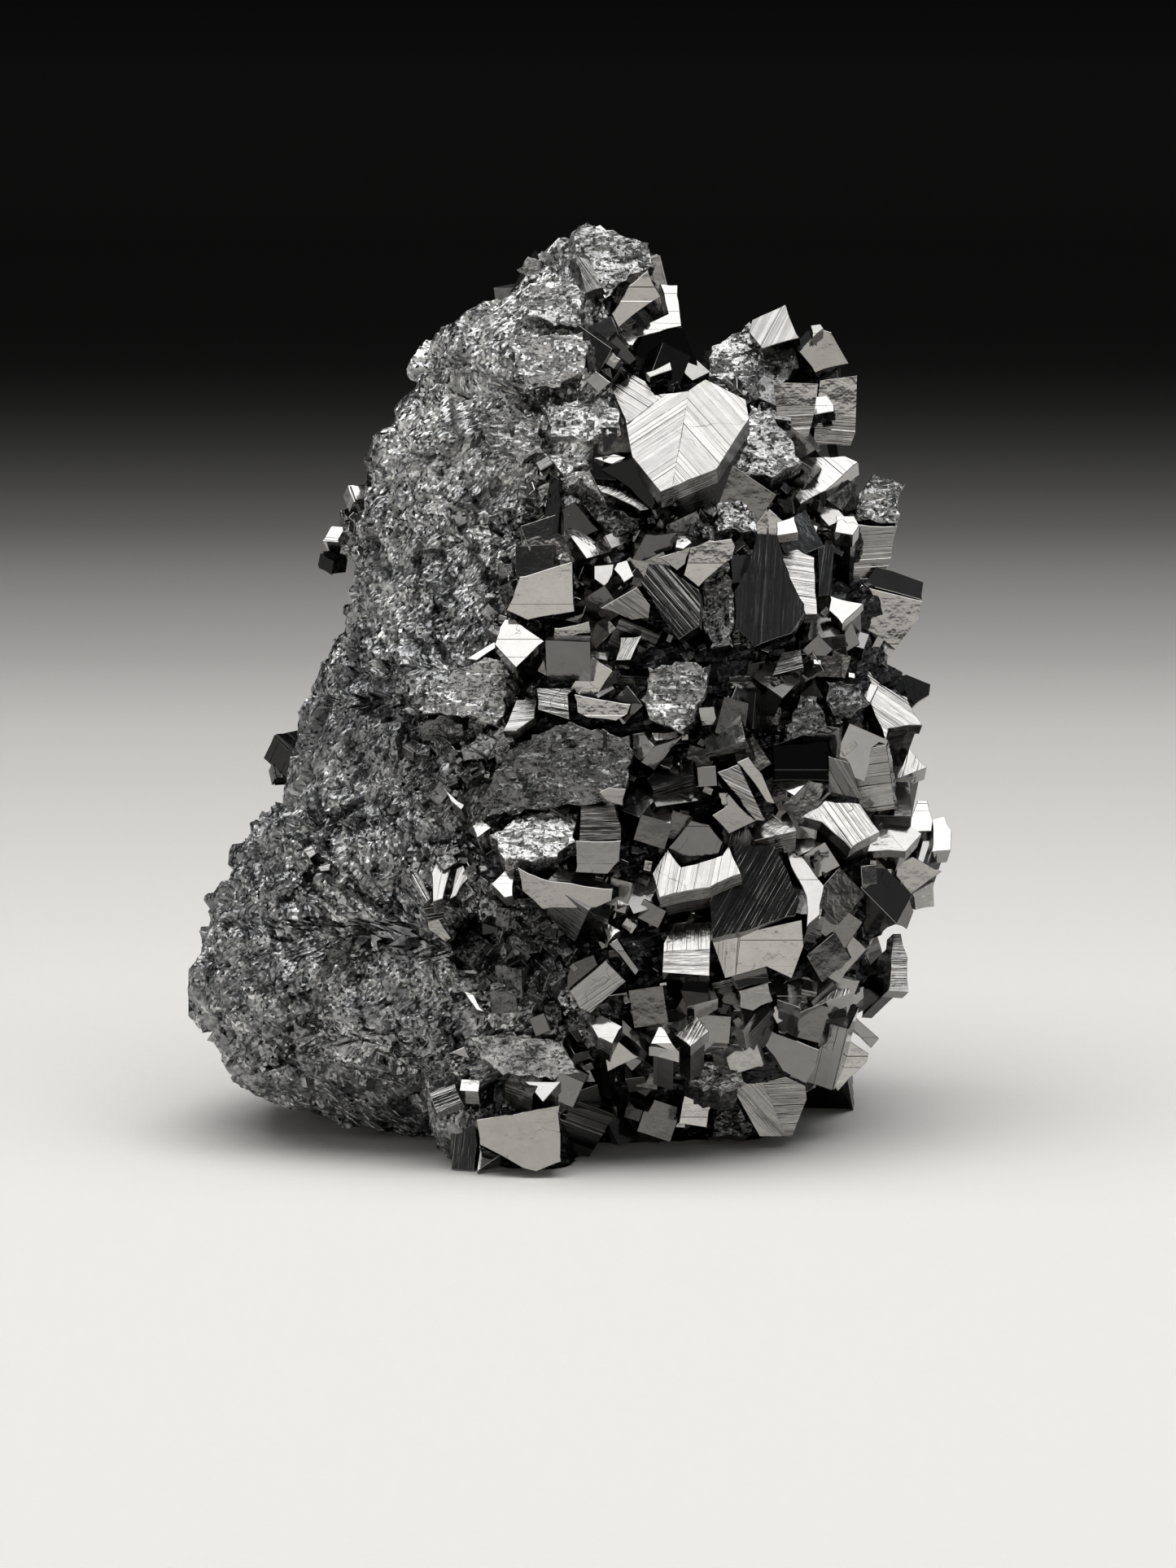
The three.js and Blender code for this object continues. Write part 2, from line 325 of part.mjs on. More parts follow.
// The mass: sections stacked up the show-face plane, closed at both ends.
function massGeometry(draw) {
  const around = TURNS.length;
  const lastRow = LEFT_EDGE.length - 1;
  const points = [];
  const shake = () => draw(-GRAIN_JITTER, GRAIN_JITTER);
  for (const [w] of LEFT_EDGE) {
    const { centre, half } = sectionAt(w);
    for (const turn of TURNS) {
      const x = centre - half * Math.cos(Math.PI * turn);
      const towards = turn <= 1 ? frontAt(x, w) + reliefAt(x, w) * blunt((x - centre) / half) : -backAt(x, w);
      points.push(stand(x, w + shake(), towards + shake()));
    }
  }
  const position = points.flatMap((point) => point.toArray());
  const index = [];
  for (let row = 0; row < lastRow; row += 1) {
    for (let column = 0; column < around; column += 1) {
      const next = (column + 1) % around;
      const [a, b] = [row * around + column, row * around + next];
      const [c, d] = [a + around, b + around];
      index.push(...((row + column) % 2 ? [a, b, d, a, d, c] : [a, b, c, b, d, c]));
    }
  }
  for (const row of [0, lastRow]) {
    const ring = points.slice(row * around, (row + 1) * around);
    const middle = ring.reduce((sum, point) => sum.add(point), new THREE.Vector3()).divideScalar(around);
    const apex = position.length / 3;
    position.push(...middle.toArray());
    for (let column = 0; column < around; column += 1) {
      const [a, b] = [row * around + column, row * around + (column + 1) % around];
      index.push(...(row === 0 ? [apex, b, a] : [apex, a, b]));
    }
  }
  const geometry = new THREE.BufferGeometry();
  geometry.setAttribute('position', new THREE.Float32BufferAttribute(position, 3));
  geometry.setIndex(index);
  return geometry;
}

// One crystal face: its outline lies on a plane of the given yaw and pitch, thickened into the mass.
function faceGeometry([, yaw, pitch, proud, corners]) {
  const xs = corners.filter((_, place) => place % 2 === 0);
  const ws = corners.filter((_, place) => place % 2 === 1);
  const midX = (Math.min(...xs) + Math.max(...xs)) / 2;
  const midW = (Math.min(...ws) + Math.max(...ws)) / 2;
  const [turn, rise] = [THREE.MathUtils.degToRad(yaw), THREE.MathUtils.degToRad(pitch)];
  const [nx, nw, nt] = [Math.sin(turn) * Math.cos(rise), Math.sin(rise), Math.cos(turn) * Math.cos(rise)];
  const level = frontAt(midX, midW) + proud;
  const depth = proud + FACE_ROOT;
  const contour = xs.map((x, place) => new THREE.Vector2(x, ws[place]));
  const isClockwise = THREE.ShapeUtils.isClockWise(contour);
  if (isClockwise) contour.reverse();
  const flat = THREE.ShapeUtils.triangulateShape(contour, []);
  const count = contour.length;
  const front = contour.map(({ x, y }) => [x, y, level - (nx * (x - midX) + nw * (y - midW)) / nt]);
  const back = front.map(([x, w, towards]) => [x - nx * depth, w - nw * depth, towards - nt * depth]);
  const index = flat.flatMap(([a, b, c]) => [a, b, c, count + a, count + c, count + b]);
  for (let corner = 0; corner < count; corner += 1) {
    const next = (corner + 1) % count;
    index.push(corner, count + corner, next, next, count + corner, count + next);
  }
  const geometry = new THREE.BufferGeometry();
  const position = [...front, ...back].flatMap(([x, w, towards]) => stand(x, w, towards).toArray());
  geometry.setAttribute('position', new THREE.Float32BufferAttribute(position, 3));
  geometry.setIndex(index);
  return geometry;
}

// One blocky crystal, its middle at x, w, towards.
function blockGeometry(x, w, towards, sizes, turns) {
  const geometry = new THREE.BoxGeometry(...sizes);
  geometry.rotateX(THREE.MathUtils.degToRad(turns[0]));
  geometry.rotateY(THREE.MathUtils.degToRad(turns[1]));
  geometry.rotateZ(THREE.MathUtils.degToRad(turns[2]));
  const middle = stand(x, w, towards);
  geometry.translate(middle.x, middle.y, middle.z);
  return geometry;
}

function drawBlock(draw, place, sizeRange, lean) {
  const size = draw(...sizeRange);
  const sizes = [0, 1, 2].map(() => size * draw(...FILL_STRETCH));
  const turns = [0, 1, 2].map(() => draw(-lean, lean));
  return blockGeometry(...place, sizes, turns);
}

// Whether x, w lies within the corners of a face.
function isWithin(x, w, corners) {
  let inside = false;
  for (let here = 0; here < corners.length; here += 2) {
    const next = (here + 2) % corners.length;
    const [x0, w0, x1, w1] = [corners[here], corners[here + 1], corners[next], corners[next + 1]];
    if ((w0 > w) !== (w1 > w) && x < x0 + (x1 - x0) * (w - w0) / (w1 - w0)) inside = !inside;
  }
  return inside;
}

function frontFill(draw) {
  const blocks = [];
  const { step, wander, size, sink, lean } = FRONT_FILL;
  for (let w = FILL_LOW; w < FRONT_FILL_HIGH; w += step) {
    const { centre, half } = sectionAt(w);
    for (let x = lookup(CRUST_LINE, w) + step / 2; x < centre + half; x += step) {
      const [atX, atW] = [x + draw(-wander, wander), w + draw(-wander, wander)];
      const block = drawBlock(draw, [atX, atW, frontAt(atX, atW) - size[0] * sink], size, lean);
      if (!FACES.some((face) => isWithin(atX, atW, face[CORNERS]))) blocks.push(block);
    }
  }
  return blocks;
}

function backFill(draw) {
  const blocks = [];
  const { step, columns, wander, size, sink, inset, lean, fullHalf, turnEnd } = BACK_FILL;
  for (let w = FILL_LOW + step / 2; w < BACK_FILL_HIGH; w += step) {
    const { centre, half } = sectionAt(w);
    const sizes = size.map((length) => length * Math.min(1, half / fullHalf));
    for (let column = 0; column < columns; column += 1) {
      const across = Math.cos(Math.PI * turnEnd * (column + draw()) / columns);
      const [atX, atW] = [centre + (half - sizes[0] * inset) * across, w + draw(-wander, wander)];
      blocks.push(drawBlock(draw, [atX, atW, sizes[0] * sink - backAt(atX, atW)], sizes, lean));
    }
  }
  return blocks;
}

function looseCrystals() {
  return LOOSE_CRYSTALS.map(([x, w, depth, size, yaw, pitch]) => (
    blockGeometry(x, w, -depth, [size, size * 1.1, size * 0.9], [pitch, 0, yaw])));
}

function buildSpecimen() {
  const pieces = [
    massGeometry(makeDraw(SEEDS.mass)), ...FACES.map(faceGeometry), ...frontFill(makeDraw(SEEDS.front)),
    ...backFill(makeDraw(SEEDS.back)), ...looseCrystals(),
  ];
  let solid = pieces.map(toSolid).reduce((whole, piece) => whole.add(piece));
  const ground = new THREE.BoxGeometry(BASE_BLOCK, BASE_BLOCK, BASE_BLOCK).translate(0, 0, -BASE_BLOCK / 2);
  solid = solid.subtract(toSolid(ground));
  const result = solid.getMesh();
  const geometry = new THREE.BufferGeometry();
  geometry.setAttribute('position', new THREE.Float32BufferAttribute(result.vertProperties, 3));
  geometry.setIndex([...result.triVerts]);
  return geometry;
}

// The origin is under the middle of the specimen, on the surface that it stands on.
function settle(geometry) {
  geometry.computeBoundingBox();
  const middle = geometry.boundingBox.getCenter(new THREE.Vector3());
  geometry.translate(-middle.x, -middle.y, -geometry.boundingBox.min.z);
  return geometry;
}

const blackMetal = new THREE.MeshStandardMaterial({
  name: 'bixbyite', color: 0x3a3a3c, roughness: 0.28, metalness: 1, flatShading: true,
});
const specimen = new THREE.Mesh(settle(buildSpecimen()), blackMetal);
specimen.name = 'bixbyite_specimen';

const group = new THREE.Group();
group.name = 'bixbyite';
group.add(specimen);

export default group;
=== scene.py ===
"""The looks of a bixbyite specimen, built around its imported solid.

A broken mass of dark, granular bixbyite carries a crust of black, mirror-bright blocky crystals. Lengths
are millimetres until a mesh is made, and angles are degrees. The show face looks towards -Y.
"""

import logging
import math
from collections.abc import Callable
from dataclasses import dataclass
from enum import Enum
from itertools import product

import bpy
import numpy as np
from mathutils import Matrix, Vector
from mathutils.geometry import tessellate_polygon


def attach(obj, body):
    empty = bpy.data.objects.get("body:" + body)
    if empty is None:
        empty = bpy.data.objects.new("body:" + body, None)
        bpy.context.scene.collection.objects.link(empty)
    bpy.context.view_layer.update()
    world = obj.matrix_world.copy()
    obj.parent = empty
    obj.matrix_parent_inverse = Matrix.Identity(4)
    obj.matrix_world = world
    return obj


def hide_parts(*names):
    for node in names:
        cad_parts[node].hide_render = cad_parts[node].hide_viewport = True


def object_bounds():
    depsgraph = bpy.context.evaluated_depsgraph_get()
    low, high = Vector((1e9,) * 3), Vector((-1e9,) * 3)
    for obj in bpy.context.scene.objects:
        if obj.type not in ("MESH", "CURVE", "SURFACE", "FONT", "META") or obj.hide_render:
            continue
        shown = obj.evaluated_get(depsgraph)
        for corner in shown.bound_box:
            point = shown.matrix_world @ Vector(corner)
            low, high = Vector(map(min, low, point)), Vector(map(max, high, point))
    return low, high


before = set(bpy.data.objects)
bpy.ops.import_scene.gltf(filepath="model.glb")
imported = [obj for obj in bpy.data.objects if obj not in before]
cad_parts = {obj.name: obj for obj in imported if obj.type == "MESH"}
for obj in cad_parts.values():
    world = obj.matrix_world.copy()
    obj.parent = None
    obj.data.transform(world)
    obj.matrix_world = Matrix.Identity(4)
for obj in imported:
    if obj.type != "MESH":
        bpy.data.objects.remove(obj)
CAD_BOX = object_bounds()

Point = tuple[float, float]
Triple = tuple[float, float, float]

NODE = "bixbyite_specimen"
MM = 0.001
BLACK = (0.0, 0.0, 0.0)
WHITE = (1.0, 1.0, 1.0)

# The show face is laid out in a plane seen square on from this far above the horizon: x runs right, w runs
# up from the front edge of the base, and t runs towards the viewer.
SIGHT_TILT = math.radians(10)
# What brings the middle of the base to the origin, across and in depth.
SETTLE = np.array([0.05, -4.9103, 0.0])
# The signs of the four corners of a side, in order round it.
ROUND = ((-1, -1), (1, -1), (1, 1), (-1, 1))


class Cut(Enum):
    """How the surface of a crystal face ends."""

    SMOOTH = 0
    RIBBED = 1
    BROKEN = 2
    GRANULAR = 3


@dataclass(frozen=True)
class Facet:
    """One crystal face seen on the show face.

    Args:
        name: what the face is called.
        yaw: its turn to the right.
        pitch: its tip upwards.
        proud: how far its middle stands off the mass.
        corners: x, w of each corner in the show-face plane.
        cut: how its surface ends.
        lie: the direction of its ribs, up from level.
    """

    name: str
    yaw: float
    pitch: float
    proud: float
    corners: tuple[float, ...]
    cut: Cut = Cut.SMOOTH
    lie: float = 0

    def outline(self) -> list[Point]:
        """The corners as x, w pairs."""
        return list(zip(self.corners[::2], self.corners[1::2]))


@dataclass(frozen=True)
class Patch:
    """An oval part of the show face.

    Args:
        x: its middle across.
        w: its middle up.
        half_x: half its width.
        half_w: half its height.
    """

    x: float
    w: float
    half_x: float
    half_w: float

    def far(self, x: np.ndarray | float, w: np.ndarray | float) -> np.ndarray:
        """How far x, w lies from the middle, 1 at the rim."""
        return np.hypot((x - self.x) / self.half_x, (w - self.w) / self.half_w)


@dataclass(frozen=True)
class Boss(Patch):
    """A rounded boss of the mass, or a pit where its rise is below nothing."""

    rise: float


@dataclass(frozen=True)
class Hollow(Patch):
    """A steep hollow of the granular mass."""

    depth: float


@dataclass(frozen=True)
class Heap(Patch):
    """A heap of small broken pieces.

    Args:
        count: how many pieces.
        largest: size of the largest.
        tone: their tone, from 0 to 1.
    """

    count: int
    largest: float
    tone: float


@dataclass(frozen=True)
class Ledge:
    """A line on the broken face below which it falls back.

    Args:
        drop: how far it falls back.
        reach: how far down the drop fades out.
        places: x, w along the line.
    """

    drop: float
    reach: float
    places: tuple[Point, ...]

    def drop_at(self, x: np.ndarray, w: np.ndarray) -> np.ndarray:
        """How far the face falls back at x, w.

        Args:
            x: place across.
            w: height.

        Returns:
            The depth of the drop.
        """
        xs = [place[0] for place in self.places]
        wander = 0.3 * np.sin(x * 2.9 + self.drop * 9) + 0.16 * np.sin(x * 7.3)
        below = np.interp(x, xs, [place[1] for place in self.places]) + wander - w
        ends = ease(x, xs[0] - 0.5, xs[0] + 0.5) * (1 - ease(x, xs[-1] - 0.5, xs[-1] + 0.5))
        return self.drop * ends * ease(below, 0, 0.3) * (1 - ease(below, 0.3, self.reach))


@dataclass(frozen=True)
class LooseCrystal:
    """A single crystal past the left edge, or behind the summit or the shoulder.

    Args:
        x: its middle across.
        w: its middle up.
        depth: how far its middle lies behind the show-face plane.
        size: its length.
        yaw: its turn to the right.
        pitch: its tip upwards.
        tone: its tone, from 0 to 1.
    """

    x: float
    w: float
    depth: float
    size: float
    yaw: float
    pitch: float
    tone: float


FACETS = [Facet(*row) for row in (
    ("summit block", 10, 22, 1.2, (0.1, 55.8, 1.1, 56.6, 4.9, 55.3, 5.3, 53.8, 3.5, 52.8, 2, 51.2, 1.1,
     51.9, 0.1, 54.2), Cut.BROKEN),
    ("crown", 5, -5, 3.9, (4.8, 53.3, 5.6, 51.7, 3, 49.8, 2.6, 50.6, 3.6, 52.3)),
    ("crown edge", 12, 38, 2.7, (5.6, 52.9, 6.7, 52.8, 6.9, 50.1, 3.1, 49, 3, 49.5, 6.1, 50.9)),
    ("under crown", -6, 10, 2.2, (4.5, 49.4, 6.9, 50, 7.8, 48, 7.9, 47.1, 6.3, 47.4, 4.6, 46.7, 3.8, 47.8)),
    ("saddle cube", -10, -8, 2, (1.6, 47.7, 2.3, 48.6, 3.1, 47.7, 2.7, 47.1)),
    ("saddle side", 40, -20, 1.6, (2.9, 48.8, 3.7, 48.4, 3.2, 47.7, 2.4, 48.5)),
    ("chevron", -4, 38, 2.4, (3.2, 47.2, 4.6, 46.4, 5.2, 45.5, 7.3, 45.8, 8.3, 46.5, 10.7, 45.2, 10.9, 44,
     8.9, 40.9, 5.5, 39.4, 3.8, 41.6, 3.4, 44, 2.6, 45.9), Cut.RIBBED, 28),
    ("chevron foot", -20, -20, 1.6, (1.8, 40.9, 3.8, 41.6, 5.5, 39.4, 5, 38.4, 3.3, 40)),
    ("shoulder", 5, 20, 1.2, (8.8, 49, 11.2, 50.6, 12, 48.7, 14.2, 48.8, 14.2, 47.6, 13, 46.5, 10.9, 45.6,
     8.8, 45.8, 8.4, 47.3), Cut.BROKEN),
    ("shoulder tip", -8, 34, 1.6, (11.3, 50.6, 13.4, 51.6, 14.2, 49.4, 11.9, 48.7, 11.1, 49.8), Cut.RIBBED,
     62),
    ("shoulder gable", 6, -4, 1.4, (14.2, 48.6, 15.5, 50, 16.2, 49.8, 17.3, 47.9, 15.2, 47.3)),
    ("shoulder left", -3, -2, 2.4, (12.5, 46.4, 15.2, 46.3, 15, 44.6, 14.6, 43.1, 14.4, 43, 12.7, 44.4),
     Cut.RIBBED, 2),
    ("shoulder right", 5, -2, 1.6, (15.5, 46.8, 17.8, 47.1, 17.7, 43.6, 17.4, 42.8, 15.1, 42.9, 15.2, 44.4),
     Cut.RIBBED, -4),
    ("shoulder bead", -10, 32, 3, (15, 45.7, 15.9, 45.8, 16.3, 45.2, 16.3, 44.8, 15.1, 44.6)),
    ("shoulder apron", -6, 36, 2.8, (14.2, 41.9, 16.9, 42, 17.7, 41.6, 15.7, 39.8, 13.8, 38.8, 14.3, 40.4),
     Cut.RIBBED, -42),
    ("shoulder rubble", 4, 28, 1.4, (11, 45, 12.5, 44.4, 13.7, 42.7, 14.2, 41.5, 12.3, 40.4, 10.7, 40.4, 9,
     41, 10, 43.1), Cut.BROKEN),
    ("right rim", 10, 16, 1.4, (18.8, 41, 20.9, 40.5, 20.3, 38, 17.6, 38, 17.9, 39.8), Cut.BROKEN),
    ("right pillar", 18, -10, 1.8, (16.5, 37.9, 20.3, 37.8, 19.9, 35.5, 18.8, 33.3, 16.1, 33, 16.3, 35.5),
     Cut.RIBBED, 4),
    ("right spark", 0, 36, 3, (16.3, 38.2, 17.4, 38.2, 17.7, 37.6, 17.3, 37, 16.2, 37.2)),
    ("right slab", 8, -2, 3, (17.4, 33.4, 18, 34.1, 21.8, 33.1, 21.6, 32, 20.1, 30.1, 17.6, 31.8)),
    ("right slab top", 5, 14, 2, (19, 35.3, 20, 35, 21.9, 34.3, 21.8, 33.2, 18.1, 34.2)),
    ("right wedge", -4, 38, 2.2, (15.9, 33.3, 17.9, 32.8, 16.6, 31.5, 15.8, 32.4)),
    ("night block", -4, 13, 2.2, (11.4, 37, 12.6, 36.9, 13.3, 34.6, 14.2, 32.7, 14.2, 32.1, 13.4, 30.9,
     11.2, 30.1, 10, 31.3, 10, 33.5, 10.9, 35.3), Cut.RIBBED, 86),
    ("night flank", 6, 33, 1.8, (12.7, 35.8, 13.9, 36.1, 14.9, 35.6, 15, 32.1, 14.3, 32.1, 13.5, 33.9),
     Cut.RIBBED, -8),
    ("night strip", 10, 12, 1.2, (15.1, 36.5, 16.2, 36.3, 16, 33.3, 15.2, 33.3), Cut.RIBBED, 82),
    ("night spark", 0, 38, 1.8, (12.6, 37.7, 13.7, 38.1, 13.9, 37.1, 12.6, 36.9)),
    ("lozenge", 2, -2, 2.8, (7.3, 36.1, 8.4, 36.5, 9.8, 36.6, 10, 36.2, 9.8, 35.4, 7.8, 33.7, 6.9, 34.4)),
    ("lozenge left", 0, -6, 2.2, (5.4, 35.5, 7.4, 36.2, 7, 35.1, 6.5, 34.7)),
    ("lozenge shade", 12, -14, 1.6, (4.6, 36.9, 6.5, 37, 6.2, 36, 4.4, 35.3, 3.8, 35.4)),
    ("lozenge spark", 0, 36, 2.2, (6.5, 36.7, 6.9, 36.9, 7.4, 36.4, 6.9, 36, 6.4, 36.1)),
    ("rubble band", 0, 14, 0.9, (8.1, 35, 9.7, 35.3, 10, 33.3, 9.9, 30, 8.5, 30, 7.9, 32), Cut.BROKEN),
    ("rubble patch", 0, 26, 1, (8.8, 39.4, 9.6, 40.6, 10.2, 40.6, 10.2, 39.5, 11.3, 38.2, 11.4, 37.2, 8.8,
     37), Cut.BROKEN),
    ("twin left", -12, 30, 1.6, (1.5, 35, 2.7, 35.1, 2.6, 34.5, 2.2, 33.7, 1.5, 34.2)),
    ("twin right", 10, 32, 1.6, (2.9, 35.2, 3.5, 35.4, 3.9, 34.4, 3.3, 34, 2.7, 34.8)),
    ("grey slab", -6, -2, 2.4, (-3, 34.3, 0.2, 35.2, 0.3, 32.2, -2.5, 31.7, -3.8, 32.3, -3.3, 33.5)),
    ("white kite", -6, 40, 2.6, (-3.9, 31.7, -3.3, 31.7, -1.5, 30.4, -3.2, 28.8, -4.5, 30.2, -4.2, 31.2)),
    ("grey step", 0, -2, 2, (-0.9, 31.2, 1.2, 31.6, 1.3, 30.9, 0.1, 30.7, -0.2, 30.2, -1, 30.2)),
    ("tan block", 6, -7, 2.2, (1.9, 32.4, 4.1, 33.7, 4.9, 32.6, 4.8, 31.8, 3.8, 31.7), Cut.RIBBED, -35),
    ("curved block", -10, 12, 2.4, (4.3, 34, 4.8, 35.1, 5.7, 35, 7.8, 33.5, 7.9, 32.6, 7.8, 31.3, 6.6, 30.5,
     5.6, 31.8), Cut.RIBBED, -50),
    ("comb", 5, 26, 1.4, (3.1, 30.7, 4.4, 30.8, 3.7, 29.3, 2.8, 29.3), Cut.RIBBED, 62),
    ("cave left", -30, 8, 0.8, (-1.2, 40.7, -0.6, 40.3, -0.5, 39, -0.7, 37, -1.6, 36.8, -1.5, 38.5)),
    ("cave wedge", -12, -16, 1, (0.3, 38.9, 1.8, 37.2, 0.4, 36.6, -0.4, 37, -0.4, 38.5)),
    ("cave floor", 0, 14, 0.6, (0.9, 38.9, 2, 38.9, 4.5, 38, 4, 37, 2.7, 36.7, 1.3, 38.1), Cut.BROKEN),
    ("cave blade", 0, 30, 1, (1.6, 40, 3.5, 39.8, 4.8, 38.5, 4.3, 38.4, 2.9, 39.2, 1.9, 39.6), Cut.RIBBED,
     25),
    ("cave glint", 0, 38, 1.4, (1.5, 41.6, 2.7, 41.8, 3.5, 41.6, 3.1, 41.1, 2.3, 41.3)),
    ("middle strip", 0, -2, 2, (0.3, 27.2, 3.7, 26.6, 3.5, 26, 2.8, 25.6, 1.1, 25.8, 0.5, 26.1)),
    ("middle ribs", -8, 20, 1.6, (-2, 27.6, 0.3, 27.6, -0.1, 27.2, 0, 25.7, -1.9, 26.3), Cut.RIBBED, -10),
    ("middle scale", -15, 34, 1.6, (-4, 25, -3.2, 26.9, -2, 27, -2.1, 25.8, -3.2, 25), Cut.RIBBED, 5),
    ("rough block", -4, 6, 2.6, (4.7, 28.9, 6.4, 29.2, 8.5, 29, 8.3, 27.7, 7.5, 25.6, 6.9, 24.8, 4.8, 25.7,
     4.3, 26.9), Cut.BROKEN),
    ("corner left", -25, -6, 2, (3.8, 24.8, 4.5, 24.9, 5.1, 24.1, 4.3, 23.1, 3.8, 23.6)),
    ("corner top", 0, 26, 1.6, (4.5, 24.9, 6.5, 25, 6.6, 24.6, 5.1, 24.1), Cut.RIBBED, 80),
    ("corner right", 30, -25, 1.6, (5.1, 24.1, 6.6, 24.6, 6.9, 24.8, 5.1, 22.6, 4.3, 23.1)),
    ("broken block", -8, 4, 1.8, (-4.5, 22.6, -3.7, 23.8, -2.3, 24.8, 0, 25.6, 2.1, 25.1, 3.6, 24.7, 3.8,
     23.8, 3.6, 22.3, 3.2, 20.6, 0.6, 20.5, -3, 20, -5, 19.8, -5.5, 20.8), Cut.BROKEN),
    ("broken window", 0, -2, 2.6, (1.8, 21.3, 2.4, 21.6, 3.4, 21.5, 3.2, 20.5, 2.2, 20.8)),
    ("broken apron", -4, 36, 1.6, (-4.8, 18.7, -3.2, 19.8, -1, 20.3, 0.6, 20.3, 0.4, 18.3, -0.7, 17.5, -2.3,
     17.2, -3.9, 17.3), Cut.BROKEN),
    ("ribbed top", 0, 14, 1.9, (0.7, 20.5, 2.7, 20.6, 3.1, 19.3, 3.1, 18.4, 0.6, 18.4), Cut.RIBBED),
    ("ribbed front", 0, -6, 2.4, (0.4, 18.4, 3.1, 18.4, 3, 17.2, 2.3, 16.4, 0.4, 16.5)),
    ("long slab", -3, -4, 2.6, (-3.1, 16.8, -1.6, 16.1, 2.6, 15.5, 2.5, 14.8, 1.6, 14.4, -1.6, 14.3, -2.8,
     15.4)),
    ("long slab tip", -10, 32, 1.6, (-4.7, 15.8, -3.7, 16.8, -3.3, 16.6, -3.4, 15.1, -3.9, 15)),
    ("slat inner", 0, -2, 2.4, (8.9, 22.5, 10.2, 23, 11.8, 19.6, 11.2, 19.6), Cut.RIBBED, -25),
    ("slat outer", 4, -4, 2.8, (10.1, 23.1, 10.8, 23.4, 11.6, 22.4, 12.4, 20.6, 11.9, 20.7)),
    ("slat foot", 0, -2, 2.6, (8.6, 19.9, 9.5, 20.5, 9.4, 21, 9.6, 21.2, 11.2, 19.6, 9.6, 18.8)),
    ("saw face", -6, 36, 2.4, (5, 16.4, 5.9, 17.9, 6.7, 16.8, 9.2, 17.5, 9.6, 18.1, 10.3, 16.4, 8.4, 15.6,
     5.4, 15), Cut.RIBBED, 78),
    ("saw shade", -10, -18, 1.6, (5.9, 17.9, 7.3, 19.6, 8.4, 19.3, 9.2, 18.3, 9, 17.6, 6.9, 16.9)),
    ("black block", 6, 14, 2.4, (8.4, 15.4, 10.3, 16.4, 9.8, 18.1, 12.4, 18.1, 13.9, 14.8, 13.6, 13.9, 10.5,
     12.9, 8.6, 12.5), Cut.RIBBED, 60),
    ("white strap", 12, 36, 1.8, (13.1, 17.7, 14, 17.5, 15.4, 15.6, 15.1, 13.9, 14.3, 13.2, 14.3, 15, 13.4,
     16.8)),
    ("rubble plate", 0, 8, 1.6, (13.1, 25.4, 14, 27.2, 15, 27.1, 16, 25, 12.9, 24.3), Cut.BROKEN),
    ("dark plate", 0, 13, 1.4, (12.3, 24.2, 15.6, 24.4, 15.7, 22, 12.4, 22)),
    ("step plate", 0, 20, 1.4, (12.3, 28.4, 12.9, 29.8, 14.1, 30, 14.2, 28.9), Cut.RIBBED, 15),
    ("dark knob", 8, 12, 1.8, (15.6, 28.1, 17.8, 27.9, 18.3, 26.7, 17.1, 25.8, 16.2, 25.4, 15.6, 26.8),
     Cut.BROKEN),
    ("brown fan", 8, -12, 1.6, (15.7, 23.5, 17, 23.1, 17.9, 20.8, 15.7, 21.3), Cut.RIBBED, -60),
    ("washboard", 8, 28, 2.4, (14, 19.8, 15.5, 20.8, 17.6, 20.6, 18.8, 18.9, 17, 17.9, 15.3, 19.5),
     Cut.RIBBED, -55),
    ("washboard lip", 0, 28, 1.6, (17.4, 17.9, 19.7, 18.7, 20.5, 17.7, 17.6, 17.7)),
    ("rim bright", 6, 38, 1.8, (18.6, 22.7, 19.9, 23.5, 20.1, 24.4, 20.7, 24.5, 22.1, 22.8, 18.8, 21.5),
     Cut.RIBBED, 75),
    ("rim fan", 10, 31, 1.8, (17.4, 29.2, 18, 29.3, 19.1, 27.9, 20.7, 27.1, 21.6, 25.4, 19.5, 25.2, 19.3,
     24.4, 18.6, 26.3), Cut.RIBBED, -35),
    ("rim dark", 12, 14, 1, (20.1, 28.4, 20.9, 28.6, 22.4, 28, 22.3, 27.3, 21.4, 26.7)),
    ("rim white", 12, 38, 1, (22.5, 19.6, 23.3, 19.8, 23.7, 18.9, 23.6, 17.7, 22.4, 17.6)),
    ("rim light", 5, 28, 1.4, (20.9, 19.3, 21.6, 20.8, 22.2, 20.8, 22.5, 19.6, 22.4, 18.9, 20.9, 18.8)),
    ("rim grey", 10, -4, 2, (19.7, 16.6, 21.2, 17.3, 23.1, 16.4, 21.1, 15)),
    ("rim low", 16, -3, 1.4, (21.2, 15, 22.6, 15.8, 22.6, 14.2, 21.4, 14)),
    ("rim steel", 22, -14, 2, (19.1, 14.7, 19.7, 16, 21, 14.9, 21.3, 13.9, 20.9, 12.8, 19.5, 13.3)),
    ("rim barrel", 20, 22, 1, (20.1, 12.5, 20.6, 12.5, 21, 11, 21, 8.9, 19.7, 9, 19.9, 11), Cut.RIBBED),
    ("wide slab", 2, -2, 2.6, (8.6, 12.4, 14, 13.6, 14.1, 12, 13.4, 10.1, 11.9, 10.8, 9.4, 10.1)),
    ("ribbon block", -4, 30, 2.2, (6.3, 13.3, 8.5, 13.5, 8.4, 10.3, 5.6, 10.5, 5.7, 12.2), Cut.RIBBED),
    ("low tile", 0, -6, 2.4, (10.2, 9.3, 12, 9.8, 12.3, 8.7, 11.1, 8.1, 10.3, 8.3)),
    ("low tile top", 0, 15, 1.8, (9.7, 10.3, 11.9, 10.8, 12.2, 9.8, 10.2, 9.4)),
